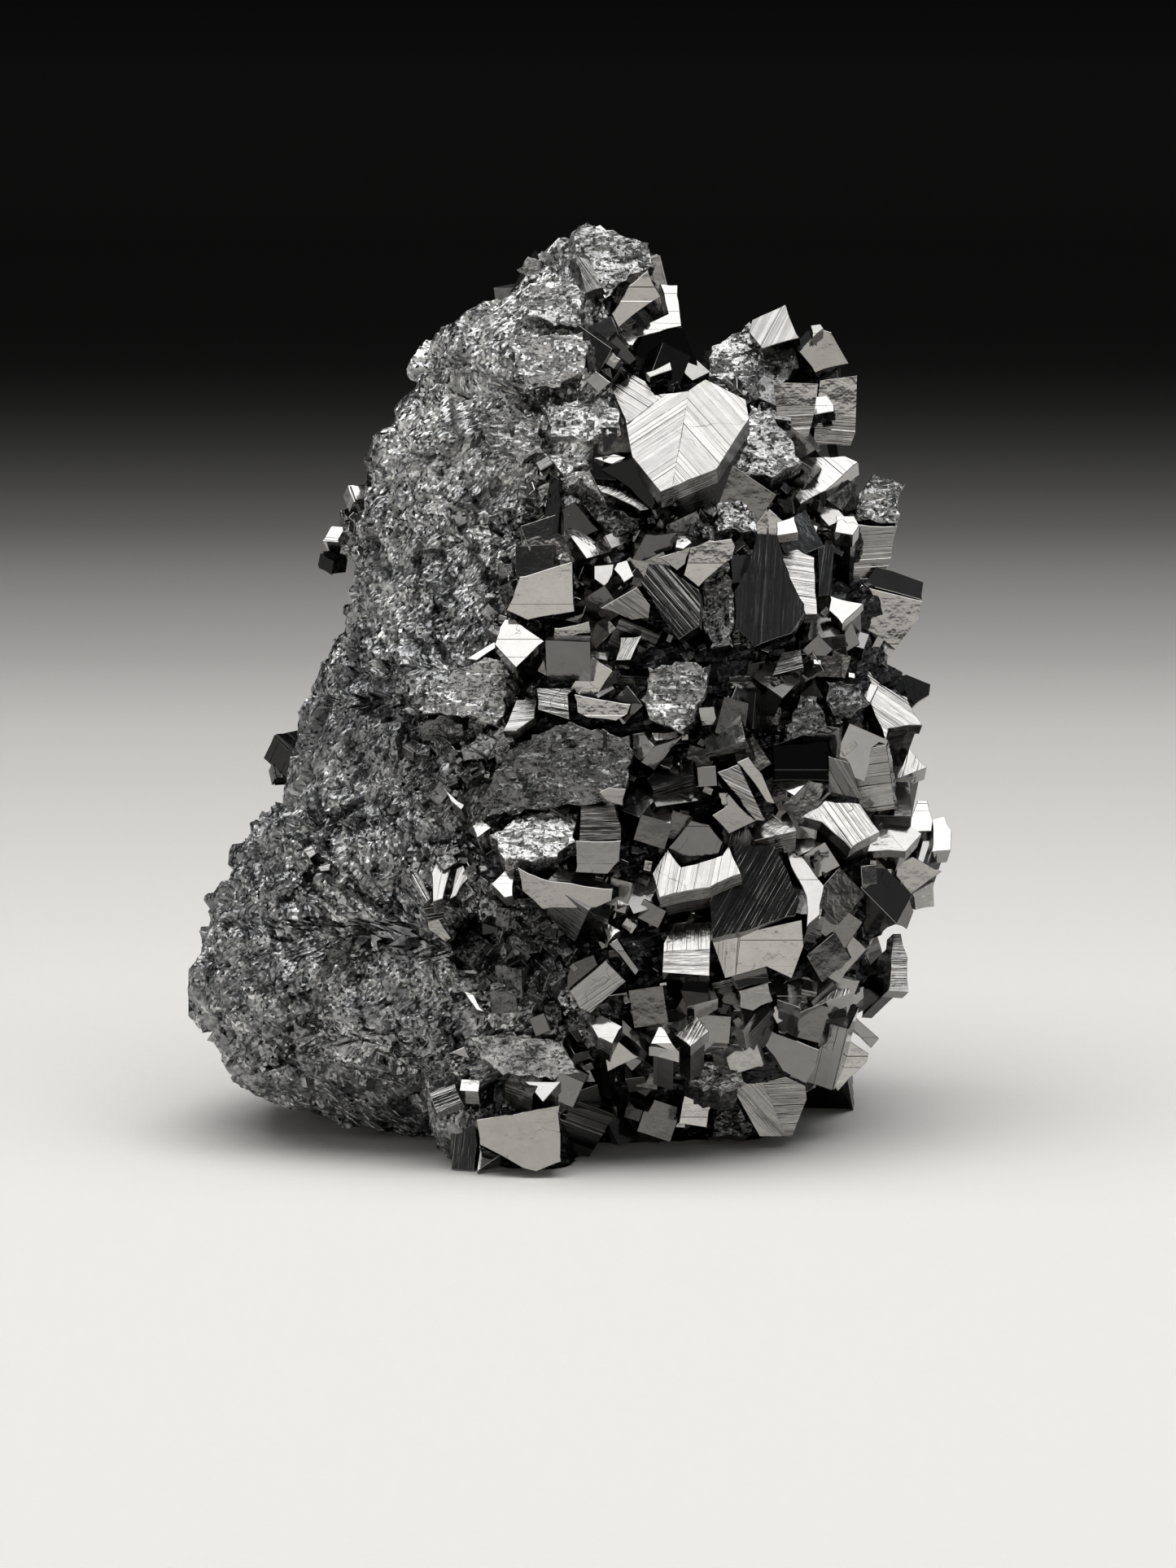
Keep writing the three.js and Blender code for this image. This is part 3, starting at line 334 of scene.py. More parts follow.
    ("low flash", 0, 40, 1.8, (12.2, 9.8, 14.1, 9.5, 14, 8.2, 12.6, 8.7)),
    ("low ribbon", 0, 38, 1.6, (13.9, 7.8, 14.2, 8.9, 17, 9.4, 17.3, 9.1), Cut.RIBBED, 70),
    ("low tab", 12, -8, 1.4, (16.7, 7.4, 17.3, 7.8, 19.2, 6, 18.7, 5.4)),
    ("low sheet", 6, -4, 2.2, (15.8, 7, 18.5, 5.1, 18.4, 4.6, 16.6, 2.8, 15, 4.5, 15.3, 5.5)),
    ("low grey", -6, -9, 2, (11.4, 6.6, 12.2, 6.8, 15.2, 5.6, 15, 4.5, 14.4, 3.5, 13, 4.3)),
    ("foot chevron", 3, -2, 1.8, (9.9, 3.1, 10.9, 4.7, 12.2, 4.3, 14.5, 3.2, 14.6, 2.4, 13.7, 0.1, 11.7,
     0.1, 10.3, 2.6), Cut.RIBBED, -40),
    ("foot light", -4, -2, 2.2, (7.2, 3.7, 8.9, 3, 8.4, 0.7, 6.7, 0.9)),
    ("foot dark", 0, 14, 1.4, (9.2, 3, 9.9, 2.8, 11.5, 0.5, 10.7, 0, 8.5, 0), Cut.BROKEN),
    ("foot flash", 0, 34, 1.8, (6.6, 4.6, 7.5, 5.6, 8.2, 5, 10.3, 5.5, 10.6, 5.2, 10.6, 3.7, 9.2, 3.1, 7.3,
     3.7), Cut.BROKEN),
    ("low comb", 0, 38, 2.6, (6.4, 6.7, 7.7, 7.8, 8.4, 6.9, 7.3, 6), Cut.RIBBED, 60),
    ("low fin", 0, 38, 2.8, (4.8, 6, 5.5, 7.6, 6.6, 5.6)),
    ("low white", 0, 38, 1.8, (1.2, 7.4, 1.9, 7.9, 3.2, 7.2, 2.6, 6.2, 1.7, 6.6)),
    ("low beige", 0, -2, 2, (2.2, 5.1, 2.9, 6.3, 4.2, 5.3, 2.3, 4.4)),
    ("low steel", 20, -14, 1.4, (3.2, 7.6, 4.7, 6.2, 4.5, 5.7, 3.2, 6.8)),
    ("low tan", 0, -10, 1.8, (0, 9.3, 2.2, 11.2, 3.4, 9.9, 1.3, 8, 0.6, 8.3), Cut.RIBBED, 35),
    ("low spark", 0, 38, 1.8, (1.9, 13.7, 3.1, 13, 2.3, 12.3)),
    ("low rail", 15, -6, 2, (2.4, 12.2, 2.9, 12.5, 4.2, 10.6, 4, 10.3)),
    ("foot slab", -2, -2, 2.2, (-5.6, 1.5, -0.6, 2.4, -0.5, -1, -2, -1.6, -2.8, -1.4, -4, -0.7, -5.4, 0)),
    ("foot post", -15, 10, 1.6, (-7.3, 1.1, -5.7, 1.3, -5.6, 0, -5.8, -1.7, -7.2, -1.6), Cut.RIBBED, 85),
    ("foot tip", 0, 30, 2.2, (-5.5, -0.1, -4.2, -0.7, -5.6, -1.7)),
    ("foot roof", 0, 32, 1.4, (-2.7, 3.8, -0.5, 3.8, -1.6, 2.6)),
    ("ledge cube", -8, 18, 1.2, (-8.6, 3.4, -6.9, 3.7, -6.5, 2.6, -8, 1.9), Cut.RIBBED, 20),
)]

# Faces whose growth lines change at a fold: two places on the fold line, then how the half on its left and
# the half on its right end and the direction of their lines.
FOLDS = {
    "chevron": ((7.4, 46.4), (6.1, 39.2), (Cut.RIBBED, 34), (Cut.RIBBED, -50)),
    "shoulder left": ((12, 45), (16, 45), (Cut.RIBBED, 2), (Cut.SMOOTH, 0)),
    "shoulder right": ((15, 44.7), (18, 44.5), (Cut.RIBBED, -4), (Cut.SMOOTH, 0)),
    "chevron left": ((5.9, 45.6), (3.4, 43.6), (Cut.RIBBED, -34), (Cut.RIBBED, 34)),
    "ribbon block": ((8.8, 11.9), (5.2, 11.7), (Cut.RIBBED, 88), (Cut.RIBBED, 0)),
    "foot chevron": ((11.3, 4.8), (13.4, 0), (Cut.RIBBED, -48), (Cut.RIBBED, 2)),
    "wide slab": ((10.4, 13.4), (10, 9.9), (Cut.RIBBED, 86), (Cut.SMOOTH, 0)),
}

# Faces with a set tone, from 0 to 1; the low tones are painted shade, for faces in the shade of their
# neighbours.
DIM = {
    "cave left": 0.05, "cave wedge": 0.12, "cave floor": 0.05, "chevron foot": 0.02, "lozenge shade": 0.25,
    "saddle side": 0.3, "under crown": 0.1, "corner right": 0.45, "saw shade": 0.4, "brown fan": 0.4,
    "rim steel": 0.4, "low steel": 0.4, "low grey": 0.5, "dark plate": 0.1, "dark knob": 0.2,
    "rubble plate": 0.25, "foot dark": 0.1, "night block": 0.75, "night flank": 0.8, "night strip": 0.8,
    "black block": 0.45, "rubble band": 0.3, "dark plane": 0.1, "broken block": 0.3, "broken apron": 0.95,
    "summit block": 0.75, "shoulder": 0.8, "shoulder rubble": 0.7, "scale right": 0.85, "scale drop": 0.95,
    "boss": 0.8, "brown plane": 0.05, "grey turn": 0.15, "summit ribs": 0.5, "shoulder tip": 0.6,
    "curved block": 0.6,
}

# Dark faces with dense fine growth lines.
FINE_LINED = (
    "night block", "night flank", "night strip", "curved block", "black block", "ribbed top", "under crown",
    "lozenge shade", "rim steel", "low steel")

# Faces that stand over a gap, so their sides run down less.
PERCHED = ("low fin", "low comb", "foot flash")

HOLLOWS = (
    Hollow(-5.9, 12.4, 1.4, 1.3, 2.8), Hollow(-3.6, 26.9, 0.7, 0.5, 1.2),
    Hollow(-15.2, 16.6, 0.8, 0.35, 0.7),
)

# Places with no crystals.
BARE = (
    Patch(-2.2, 5.2, 2.4, 1.6), Patch(-5.4, 20.4, 1.6, 1.6), Patch(5.8, 3.6, 0.9, 1.5),
    Patch(1.2, 50.6, 1.8, 1.8),
)

LOOSE_CRYSTALS = [LooseCrystal(*row) for row in (
    (-13.2, 39.6, 1.2, 1.3, 25, 45, 0.95), (-14.5, 37.1, 1.2, 1.2, -30, 42, 0.95),
    (-14.7, 35.6, 1, 1.3, 40, 14, 0.02), (-13.7, 38.2, 1.6, 1.2, 10, 30, 0.3),
    (-11.8, 40.7, 1.4, 1.3, 35, 10, 0.03), (-12.1, 42, 1.5, 1.2, -20, 30, 0.6),
    (-13.6, 32.6, 1.2, 0.8, 20, 10, 0.05), (-15.9, 25.9, 0.9, 0.95, 10, 45, 0.95),
    (-15.4, 25.3, 0.8, 0.9, 30, 0, 0.03), (-17.3, 23.6, 1.2, 2.2, 50, 30, 0.06),
    (-18.1, 22.4, 1, 1, 20, 50, 0.1), (-12.6, 29.5, 5, 3, 30, 30, 0.5), (11.4, 46.2, 4.4, 5, 20, 15, 0.5),
    (14, 45.4, 3, 4.6, -25, 10, 0.3), (12.6, 47.4, 1.8, 4, 40, 25, 0.3), (8.6, 45.2, 6, 4.4, 10, -30, 0.3),
    (1.8, 49.8, 7.2, 2.8, 30, 20, 0.1), (0.6, 49.4, 5.4, 3.8, -20, 30, 0.5),
    (4.6, 48, 5.4, 2.8, 10, 45, 0.3), (-4.2, 46, 5.6, 4.2, 35, 20, 0.5), (1.2, 53.2, 2.2, 2.6, 15, 35, 0.5),
)]

# Broken faces and small bright shards on the granular side.
SHARDS = [Facet(*row) for row in (
    ("summit shard", -6, 38, 2.6, (1.3, 56.2, 1.9, 56.4, 3.2, 55.4, 2.5, 55.2)),
    ("summit blade", 14, 12, 2.4, (1.1, 56.3, 1.6, 56.2, 2.5, 54.9, 1.9, 54.5), Cut.RIBBED, -56),
    ("summit ribs", -14, 20, 1.9, (0.2, 54.4, 1.2, 54, 2, 52.2, 1, 51.9), Cut.RIBBED, -56),
    ("saddle glint", 0, 38, 2.4, (4.65, 46.9, 6.15, 47.6, 6.25, 47.1, 4.9, 46.6)),
    ("saddle stub", 6, -6, 2.2, (7.2, 47.4, 7.8, 47.9, 8.4, 46.9, 7.6, 46.5)),
    ("horn stub", -10, -12, 2, (0.9, 46.4, 1.6, 46.9, 2.5, 46.2, 1.8, 45.5)),
    ("gable cap", 0, 38, 2.4, (14.9, 50.2, 15.5, 50.3, 15.7, 50, 15, 49.4)),
    ("boss", -8, 16, 0.5, (-2.85, 51.65, -2.45, 52.45, -1.1, 52.95, 0.25, 52.8, 0.95, 51.8, 0.9, 50.6, 0.75,
     49.4, -0.95, 49.8, -2.55, 50.35), Cut.BROKEN),
    ("small boss", -14, 8, 0.5, (-3.3, 53.6, -2.6, 54.4, -1.8, 54.2, -1.6, 53.2, -2.6, 52.8), Cut.BROKEN),
    ("boss slab", -4, 6, 0.7, (-3.9, 49, -2.2, 49.3, 0.8, 49.4, 1.2, 48.2, 1, 46.9, -0.6, 46, -2.4, 45.8,
     -3.2, 46.8), Cut.BROKEN),
    ("scale left", -16, 10, 0.4, (-5.6, 44.6, -3.4, 45, -1.8, 44, -1.6, 42, -3, 41.2, -5.2, 42),
     Cut.BROKEN),
    ("scale right", -10, 30, 0.5, (-1.8, 45, 0.6, 45.2, 3, 44.6, 3.1, 43.2, 1, 42.6, -1.2, 43), Cut.BROKEN),
    ("scale drop", -4, 34, 0.5, (-1.6, 42, 1.4, 42.2, 1.2, 41.2, -0.4, 40.6), Cut.BROKEN),
    ("grey plane", -6, 6, 0.5, (-8.5, 27.35, -7.05, 28.65, -5.15, 29.45, -3.85, 29.45, -3.55, 28.4, -3.95,
     26, -4.5, 25.35, -6.5, 25.85, -9.15, 26), Cut.BROKEN),
    ("grey turn", 22, -2, 0.5, (-3.7, 29.35, -2.9, 28.8, -1.85, 28.65, -1.7, 27.85, -3.45, 26.8, -3.9, 26),
     Cut.BROKEN),
    ("brown plane", -4, -10, 0.4, (-9.3, 25.6, -7.85, 26, -5.85, 25.35, -5.7, 24.65, -6.75, 24.15, -8.9,
     24.25), Cut.BROKEN),
    ("under plane", 8, 4, 0.7, (-6.9, 23.85, -5.7, 24.4, -3.3, 24.8, -2.75, 24.55, -4.1, 23.35, -6.35,
     23.2), Cut.BROKEN),
    ("left knuckle", -12, 8, 0.6, (-11.85, 22.4, -11.05, 22.95, -10.25, 22.25, -9.95, 21.2, -10.9, 20.8,
     -11.7, 21.6), Cut.BROKEN),
    ("dark plane", -14, 4, 0.5, (-15.35, 11, -14, 12.5, -13.15, 12.5, -13.35, 11.15, -14.15, 9.65, -14.85,
     9.5, -15.65, 10.15), Cut.BROKEN),
    ("low plane", -2, 2, 0.5, (-6, 6.5, -3.35, 6.85, -0.35, 6.35, 0.65, 4.35, -1, 3.85, -4, 4.15, -5.35,
     5.15), Cut.BROKEN),
    ("pit shard", -6, -5, 0.7, (-8.65, 13.85, -8, 13.85, -7.15, 12.5, -7.5, 12.25, -8.5, 13)),
    ("shard fan", -10, 22, 0.8, (-8.7, 14.6, -9.7, 16.1, -9.2, 16.7, -8.3, 14.9), Cut.RIBBED, 120),
    ("white shard", -4, 36, 0.9, (-8.2, 14.7, -8.3, 16.4, -7.9, 17.6, -7.2, 16.6, -7.6, 14.9), Cut.RIBBED,
     80),
    ("white splinter", 6, 30, 0.8, (-7.2, 14.9, -6.8, 16.7, -6.4, 16.9, -6.1, 16.1, -6.8, 15.1), Cut.RIBBED,
     66),
    ("fan foot", 10, 14, 0.6, (-8.9, 14.4, -7.2, 14.6, -7.6, 13.7, -8.5, 13.5), Cut.RIBBED, 10),
    ("blade", -10, 32, 0.7, (-7.85, 22.15, -7.45, 21.45, -6.3, 20.55, -6.5, 20.25, -7.15, 20.8)),
    ("light sliver", 0, 32, 0.6, (-6.35, 9.25, -5.8, 9.1, -5.15, 8.1, -5.6, 8.2)),
    ("light chip", 0, -5, 0.6, (-7.35, 5.5, -6.35, 5.9, -6, 5.15)),
    ("bright edge", -10, 36, 0.8, (-9.2, 26.3, -8.2, 27.2, -7.8, 27.1, -8.6, 26.2)),
    ("bright crest", -4, 34, 0.8, (-6.2, 29.4, -4.6, 30.4, -4.2, 30.2, -5.6, 29.3)),
    ("left glint", -14, 30, 0.5, (-16.2, 17.8, -15.7, 18.1, -15.4, 17.6, -15.8, 17.3), Cut.RIBBED, 20),
    ("left spark", -10, 26, 0.5, (-15.3, 16.8, -14.5, 17, -14.6, 16.6, -15.1, 16.5), Cut.RIBBED),
)]

HEAPS = (
    Heap(-2.6, 11.6, 2.9, 2.7, 130, 1.7, 0.1), Heap(-5.4, 24.2, 2.6, 2.2, 70, 1.3, 0.6),
    Heap(-8.4, 22.4, 2.2, 1.8, 50, 1.1, 0.55), Heap(-7.4, 16.2, 2.6, 1.6, 60, 1.0, 0.8),
    Heap(-3.4, 32.6, 2.2, 2.6, 50, 1.1, 0.7), Heap(-2.6, 20.6, 2.2, 1.8, 46, 1.4, 0.35),
    Heap(-0.6, 39.6, 2.2, 1.8, 50, 1.2, 0.9), Heap(0.6, 7.4, 2.8, 1.6, 50, 1.3, 0.3),
    Heap(10.6, 44.6, 2.2, 2.2, 50, 1.1, 0.9), Heap(7.6, 38, 3.2, 1.6, 50, 1.3, 0.6),
    Heap(-13.2, 37.2, 0.9, 1.5, 40, 0.8, 0.95),
)

# Places in the shade, and the share of their tone that small crystals keep there.
SHADE_SHARE = 0.5
SHADE = (
    Patch(2.2, 39.2, 3.8, 2.8), Patch(5.4, 30.4, 3.4, 1.8), Patch(12.6, 26, 2.6, 3.4),
    Patch(3.5, 47, 2.6, 1.6), Patch(0, 29.4, 2.6, 1.4), Patch(7, 20.6, 2, 2.2), Patch(-0.5, 11.5, 3.6, 3),
    Patch(3.4, 2.6, 4, 3), Patch(16.6, 30.6, 1.8, 2), Patch(13.6, 40, 2.4, 2),
)

LEDGES = (
    Ledge(1.5, 3.2, ((-22.8, 6.8), (-20.5, 5.4), (-18.8, 4.65), (-17.5, 5.9), (-15.7, 7.85), (-15, 8.6))),
    Ledge(1.2, 1.0, ((-17.6, 15.4), (-16.6, 15.8), (-15.2, 16.4))),
    Ledge(0.9, 1.6, ((-9.4, 26), (-8.3, 27.2), (-6.6, 28.6), (-4.8, 29.4))),
    Ledge(1.0, 1.2, ((-3.6, 44.7), (-2.6, 45.4), (-1.5, 45.9), (0.6, 45.9))),
    Ledge(0.9, 2.0, ((-12, 34.5), (-10, 33.5), (-8.6, 33.8), (-7.6, 32.6))),
    Ledge(0.8, 2.4, ((-20.5, 19.2), (-18, 18.8), (-15.5, 20), (-13, 19.4), (-10.5, 20.4))),
    Ledge(0.9, 2.2, ((-13, 13.4), (-11, 12.2), (-9.4, 12.9), (-7.6, 12.2))),
    Ledge(0.7, 1.6, ((-7, 38.6), (-5.4, 37.4), (-3.6, 38.2), (-2.2, 37.2))),
    Ledge(0.8, 1.8, ((-12.6, 7.2), (-10.6, 6.2), (-8.4, 7), (-6.2, 6))),
)


class Draw:
    """Repeatable draws between two numbers."""

    multiplier = 48271
    modulus = 2147483647

    def __init__(self, seed: int) -> None:
        """Start the row of draws at seed."""
        self.state = seed

    def __call__(self, low: float = 0.0, high: float = 1.0) -> float:
        """The next draw from low to high."""
        self.state = self.state * self.multiplier % self.modulus
        return low + (high - low) * (self.state / self.modulus)

    def split(self) -> "Draw":
        """A new row of draws, started by this one."""
        return Draw(int(self(1, 1e6)))


def stand(places: np.ndarray) -> np.ndarray:
    """Take rows of x, w, t in the show-face plane to places on the standing specimen.

    Args:
        places: rows of x, w, t.

    Returns:
        Rows of x, y, z in the model's frame.
    """
    return turned(places) + SETTLE


def turned(ways: np.ndarray) -> np.ndarray:
    """Take rows of directions in the show-face plane to the model's frame.

    Args:
        ways: rows of x, w, t.

    Returns:
        The same rows along x, y, z.
    """
    x, w, t = np.moveaxis(np.asarray(ways, float), -1, 0)
    sin, cos = math.sin(SIGHT_TILT), math.cos(SIGHT_TILT)
    return np.stack([x, w * sin - t * cos, w * cos + t * sin], -1)


def unit(way: np.ndarray) -> np.ndarray:
    """The direction made one long."""
    return way / np.linalg.norm(way)


def between(start: Point, end: Point, share: float) -> Point:
    """The place a share of the way from start to end."""
    return start[0] + (end[0] - start[0]) * share, start[1] + (end[1] - start[1]) * share


def ease(value: np.ndarray, low: float, high: float) -> np.ndarray:
    """Rise smoothly from 0 at low to 1 at high."""
    share = np.clip((value - low) / (high - low), 0, 1)
    return share * share * (3 - 2 * share)


@dataclass(frozen=True)
class MassForm:
    """The form of the broken mass: its edges, its thickness and the bosses and pits of its face."""

    left: tuple[Point, ...] = (
        (-6, -6.5), (-0.5, -9.3), (0.4, -13), (1.4, -17), (2.7, -20.4), (4.5, -21.8), (6.5, -22.9),
        (9.3, -23.8), (12.5, -23.1), (15.6, -21.5), (18.8, -20.4), (20.2, -18.2), (22.5, -17.2),
        (25, -16.6), (27.5, -16.2), (30.5, -14.5), (33, -13.7), (36, -13.4), (38.5, -12.9), (40.2, -11.9),
        (42.2, -12.2), (44.2, -11), (46.4, -9.5), (47.4, -9.4), (49.8, -8.3), (51.2, -5.8), (53, -3.4),
        (54.4, -1.9), (55.6, -0.2),
    )
    right: tuple[Point, ...] = (
        (-6, 10), (0, 13), (2.5, 14.6), (5, 16.4), (8, 17.6), (10, 18.4), (12.5, 18.8), (15, 20.4),
        (17.5, 21), (20, 20.8), (22.5, 20.2), (25, 20), (27.5, 20.2), (29.5, 19.4), (31, 19.2), (33, 19.2),
        (35, 17.8), (37.5, 18), (39.8, 17), (41.3, 15.4), (43, 15.4), (46.2, 14.6), (47.2, 7.2),
        (48.8, 5.6), (51, 4.4), (53.6, 3.8), (55.6, 1.6),
    )
    front: tuple[Point, ...] = (
        (-6, 8), (0, 9.6), (8, 11.4), (16, 12), (26, 11), (36, 9.4), (46, 7.2), (52, 4.8), (55.6, 2),
    )
    back: tuple[Point, ...] = (
        (-6, 10), (0, 12), (8, 14), (18, 14.4), (28, 13.4), (38, 11.4), (46, 8.6), (52, 5.6), (55.6, 2.6),
    )
    crust: tuple[Point, ...] = (
        (-4, -7), (3.5, -6.5), (6, 0), (9, 0.5), (12, -1), (16, -4.5), (20, -6), (24, -5), (27, -3.5),
        (31, -4.2), (36, -2.2), (40, -0.6), (44, 2.6), (48, 1.4), (52, 1.6), (56, 0),
    )
    relief: tuple[Boss, ...] = (
        Boss(-1, 51, 2.6, 2.2, 1.1), Boss(-1.6, 47.3, 2.6, 1.6, 0.9), Boss(-2, 45.2, 3.8, 0.7, -1.1),
        Boss(0.5, 43, 3, 1.6, 0.9), Boss(-7.6, 47.6, 1.8, 1.5, 0.8), Boss(-8, 40, 2.4, 3.4, 0.8),
        Boss(-4.5, 33.5, 1.6, 3, -0.7), Boss(-11, 30, 2.8, 3, 0.8), Boss(-6.5, 27.5, 2.2, 1.6, 0.9),
        Boss(-10.5, 22, 2, 1.4, -0.9), Boss(-7.4, 21.4, 1.8, 1.3, 0.9), Boss(-15.5, 21, 2, 1.5, 0.7),
        Boss(-16.4, 16.5, 1.6, 0.8, -1.2), Boss(-19.5, 14, 2.6, 3, 0.9), Boss(-13.5, 11, 1.6, 2.4, -0.9),
        Boss(-18, 9, 2.8, 3, 1), Boss(-15, 6.6, 2.6, 0.8, -1), Boss(-20.5, 5.2, 2.4, 0.8, -0.9),
        Boss(-10.5, 5, 3.4, 2, 0.9), Boss(-6, 12.5, 1.3, 1.8, -2), Boss(-3, 9.5, 3, 2.4, 0.9),
    )
    section_power: float = 2.4
    setback_share: float = 0.85
    setback_height: float = 7
    foot: Point = (-9.5, 1)
    foot_edge: float = 2

    def along(self, table: tuple[Point, ...], w: np.ndarray | float) -> np.ndarray | float:
        """Straight-line lookup of a table at height w."""
        return np.interp(w, [place for place, _ in table], [value for _, value in table])

    def section(self, w: np.ndarray | float) -> tuple[np.ndarray, np.ndarray]:
        """The middle and half width of the mass at height w.

        Args:
            w: height in the show-face plane.

        Returns:
            The middle and the half width.
        """
        left, right = self.along(self.left, w), self.along(self.right, w)
        return (left + right) / 2, (right - left) / 2

    def middle(self, w: float) -> Point:
        """The middle and half width at one height."""
        centre, half = self.section(w)
        return float(centre), float(half)

    def blunt(self, share: np.ndarray) -> np.ndarray:
        """How much of its full thickness the mass has at a share of its half width."""
        power = self.section_power
        return (1 - np.minimum(np.abs(share), 1) ** power) ** (1 / power)

    def setback(self, x: np.ndarray, w: np.ndarray) -> np.ndarray:
        """The share of its thickness that the show face keeps towards the floor.

        Args:
            x: place across.
            w: height.

        Returns:
            The share, 1 well above the floor and at the foot.
        """
        inside = ease(x, self.foot[0], self.foot[0] + self.foot_edge)
        inside = inside * (1 - ease(x, self.foot[1] - self.foot_edge, self.foot[1]))
        down = 1 - ease(w, 0, self.setback_height)
        return 1 - self.setback_share * down * (1 - inside)

    def front_at(self, x: np.ndarray, w: np.ndarray) -> np.ndarray:
        """How far the front of the mass stands towards the viewer at x, w."""
        centre, half = self.section(w)
        return self.along(self.front, w) * self.setback(x, w) * self.blunt((x - centre) / half)

    def back_at(self, x: np.ndarray, w: np.ndarray) -> np.ndarray:
        """How far the back of the mass stands away from the viewer at x, w."""
        centre, half = self.section(w)
        return self.along(self.back, w) * self.blunt((x - centre) / half)

    def relief_at(self, x: np.ndarray, w: np.ndarray) -> np.ndarray:
        """The height of the bosses and pits.

        Args:
            x: places across.
            w: heights.

        Returns:
            The height at each place.
        """
        height = np.zeros(np.broadcast(x, w).shape)
        for boss in self.relief:
            height += boss.rise * np.exp(-boss.far(x, w) ** 2)
        return height

    def drop_at(self, x: np.ndarray, w: np.ndarray) -> np.ndarray:
        """How far the face falls back below its ledges.

        Args:
            x: places across.
            w: heights.

        Returns:
            The drop at each place.
        """
        drop = np.zeros(np.broadcast(x, w).shape)
        for ledge in LEDGES:
            drop += ledge.drop_at(x, w)
        return drop


FORM = MassForm()


def scatter(cell: np.ndarray, salt: int) -> np.ndarray:
    """A repeatable number from 0 to 1 for each whole-number cell.

    Args:
        cell: rows of three whole numbers.
        salt: tells one set of numbers from another.

    Returns:
        One number for each row.
    """
    keys = cell.astype(np.int64)
    mixed = keys[:, 0] * 73856093 ^ keys[:, 1] * 19349663 ^ keys[:, 2] * 83492791 ^ salt * 961748927
    mixed = (mixed & 0xFFFFFFFF).astype(np.uint64)
    mixed = (mixed ^ (mixed >> np.uint64(15))) * np.uint64(2246822519) & np.uint64(0xFFFFFFFF)
    mixed = (mixed ^ (mixed >> np.uint64(13))) * np.uint64(3266489917) & np.uint64(0xFFFFFFFF)
    mixed = mixed ^ (mixed >> np.uint64(16))
    return mixed.astype(float) / 0xFFFFFFFF


@dataclass(frozen=True)
class Rubble:
    """Broken grains: each cell is a tilted chip with a groove round it.

    Args:
        size: how far apart the grains lie.
        rise: how far a grain stands up or lies down.
        tilt: how steeply a grain's top leans.
        groove: depth of the groove between grains.
        salt: tells one set of grains from another.
    """

    size: float
    rise: float
    tilt: float
    groove: float
    salt: int

    def height(self, places: np.ndarray) -> np.ndarray:
        """How far the surface moves at each place.

        Args:
            places: rows of three coordinates.

        Returns:
            One height for each row.
        """
        base = np.floor(places / self.size)
        nearest = np.full(len(places), np.inf)
        second = np.full(len(places), np.inf)
        height = np.zeros(len(places))
        reach = (-1, 0, 1)
        for step in ((a, b, c) for a in reach for b in reach for c in reach):
            cell = base + step
            shift = np.stack([scatter(cell, self.salt + axis) for axis in range(3)], -1)
            away = places - (cell + shift) * self.size
            distance = (away * away).sum(1)
            closer = distance < nearest
            second = np.where(closer, nearest, np.minimum(second, distance))
            nearest = np.where(closer, distance, nearest)
            chosen = cell[closer]
            lean = np.stack([scatter(chosen, self.salt + axis) - 0.5 for axis in (3, 4, 5)], -1)
            lift = scatter(chosen, self.salt + 6) * 2 - 1
            height[closer] = self.rise * lift + 2 * self.tilt * (lean * away[closer]).sum(1)
        edge = (np.sqrt(second) - np.sqrt(nearest)) / self.size
        return height - self.groove * (1 - ease(edge, 0, 0.3))


def split(piece: list[Point], way: Point, place: float) -> tuple[list[Point], list[Point]]:
    """Cut a convex piece with a straight line.

    Args:
        piece: its corners.
        way: direction across the line.
        place: how far along that direction the line lies.

    Returns:
        The corners below and above the line.
    """
    low, high = [], []
    sides = [corner[0] * way[0] + corner[1] * way[1] - place for corner in piece]
    for step, here in enumerate(piece):
        side = sides[step]
        if side <= 0:
            low.append(here)
        if side >= 0:
            high.append(here)
        after = (step + 1) % len(piece)
        if side * sides[after] < 0:
            share = side / (side - sides[after])
            met = between(here, piece[after], share)
            low.append(met)
            high.append(met)
    return low, high


def slice_pieces(pieces: list[list[Point]], way: Point, places: list[float]) -> list[list[Point]]:
    """Cut convex pieces with a family of parallel lines.

    Args:
        pieces: the corners of each piece.
        way: direction across the lines.
        places: how far along it each line lies, in rising order.

    Returns:
        The corners of each strip.
    """
    strips = []
    for piece in pieces:
        reach = [corner[0] * way[0] + corner[1] * way[1] for corner in piece]
        rest = piece
        for place in places:
            if min(reach) < place < max(reach) and len(rest) > 2:
                low, rest = split(rest, way, place)
                if len(low) > 2:
                    strips.append(low)
        if len(rest) > 2:
            strips.append(rest)
    return strips


def area_of(outline: list[Point]) -> float:
    """The area inside an outline, positive where its corners run anticlockwise."""
    pairs = zip(outline, outline[1:] + outline[:1])
    return sum(a[0] * b[1] - b[0] * a[1] for a, b in pairs) / 2


def inset(outline: list[Point], by: float) -> list[Point]:
    """Draw an anticlockwise outline in by a small distance.

    Args:
        outline: its corners.
        by: the distance.

    Returns:
        The new corners, one for each old one.
    """
    moved = []
    for step, here in enumerate(outline):
        before = unit(np.subtract(here, outline[step - 1]))
        after = unit(np.subtract(outline[(step + 1) % len(outline)], here))
        inwards = np.array([-before[1] - after[1], before[0] + after[0]])
        square = max(0.35, 1 + float(before @ after))
        moved.append((here[0] + inwards[0] * by / square, here[1] + inwards[1] * by / square))
    return moved


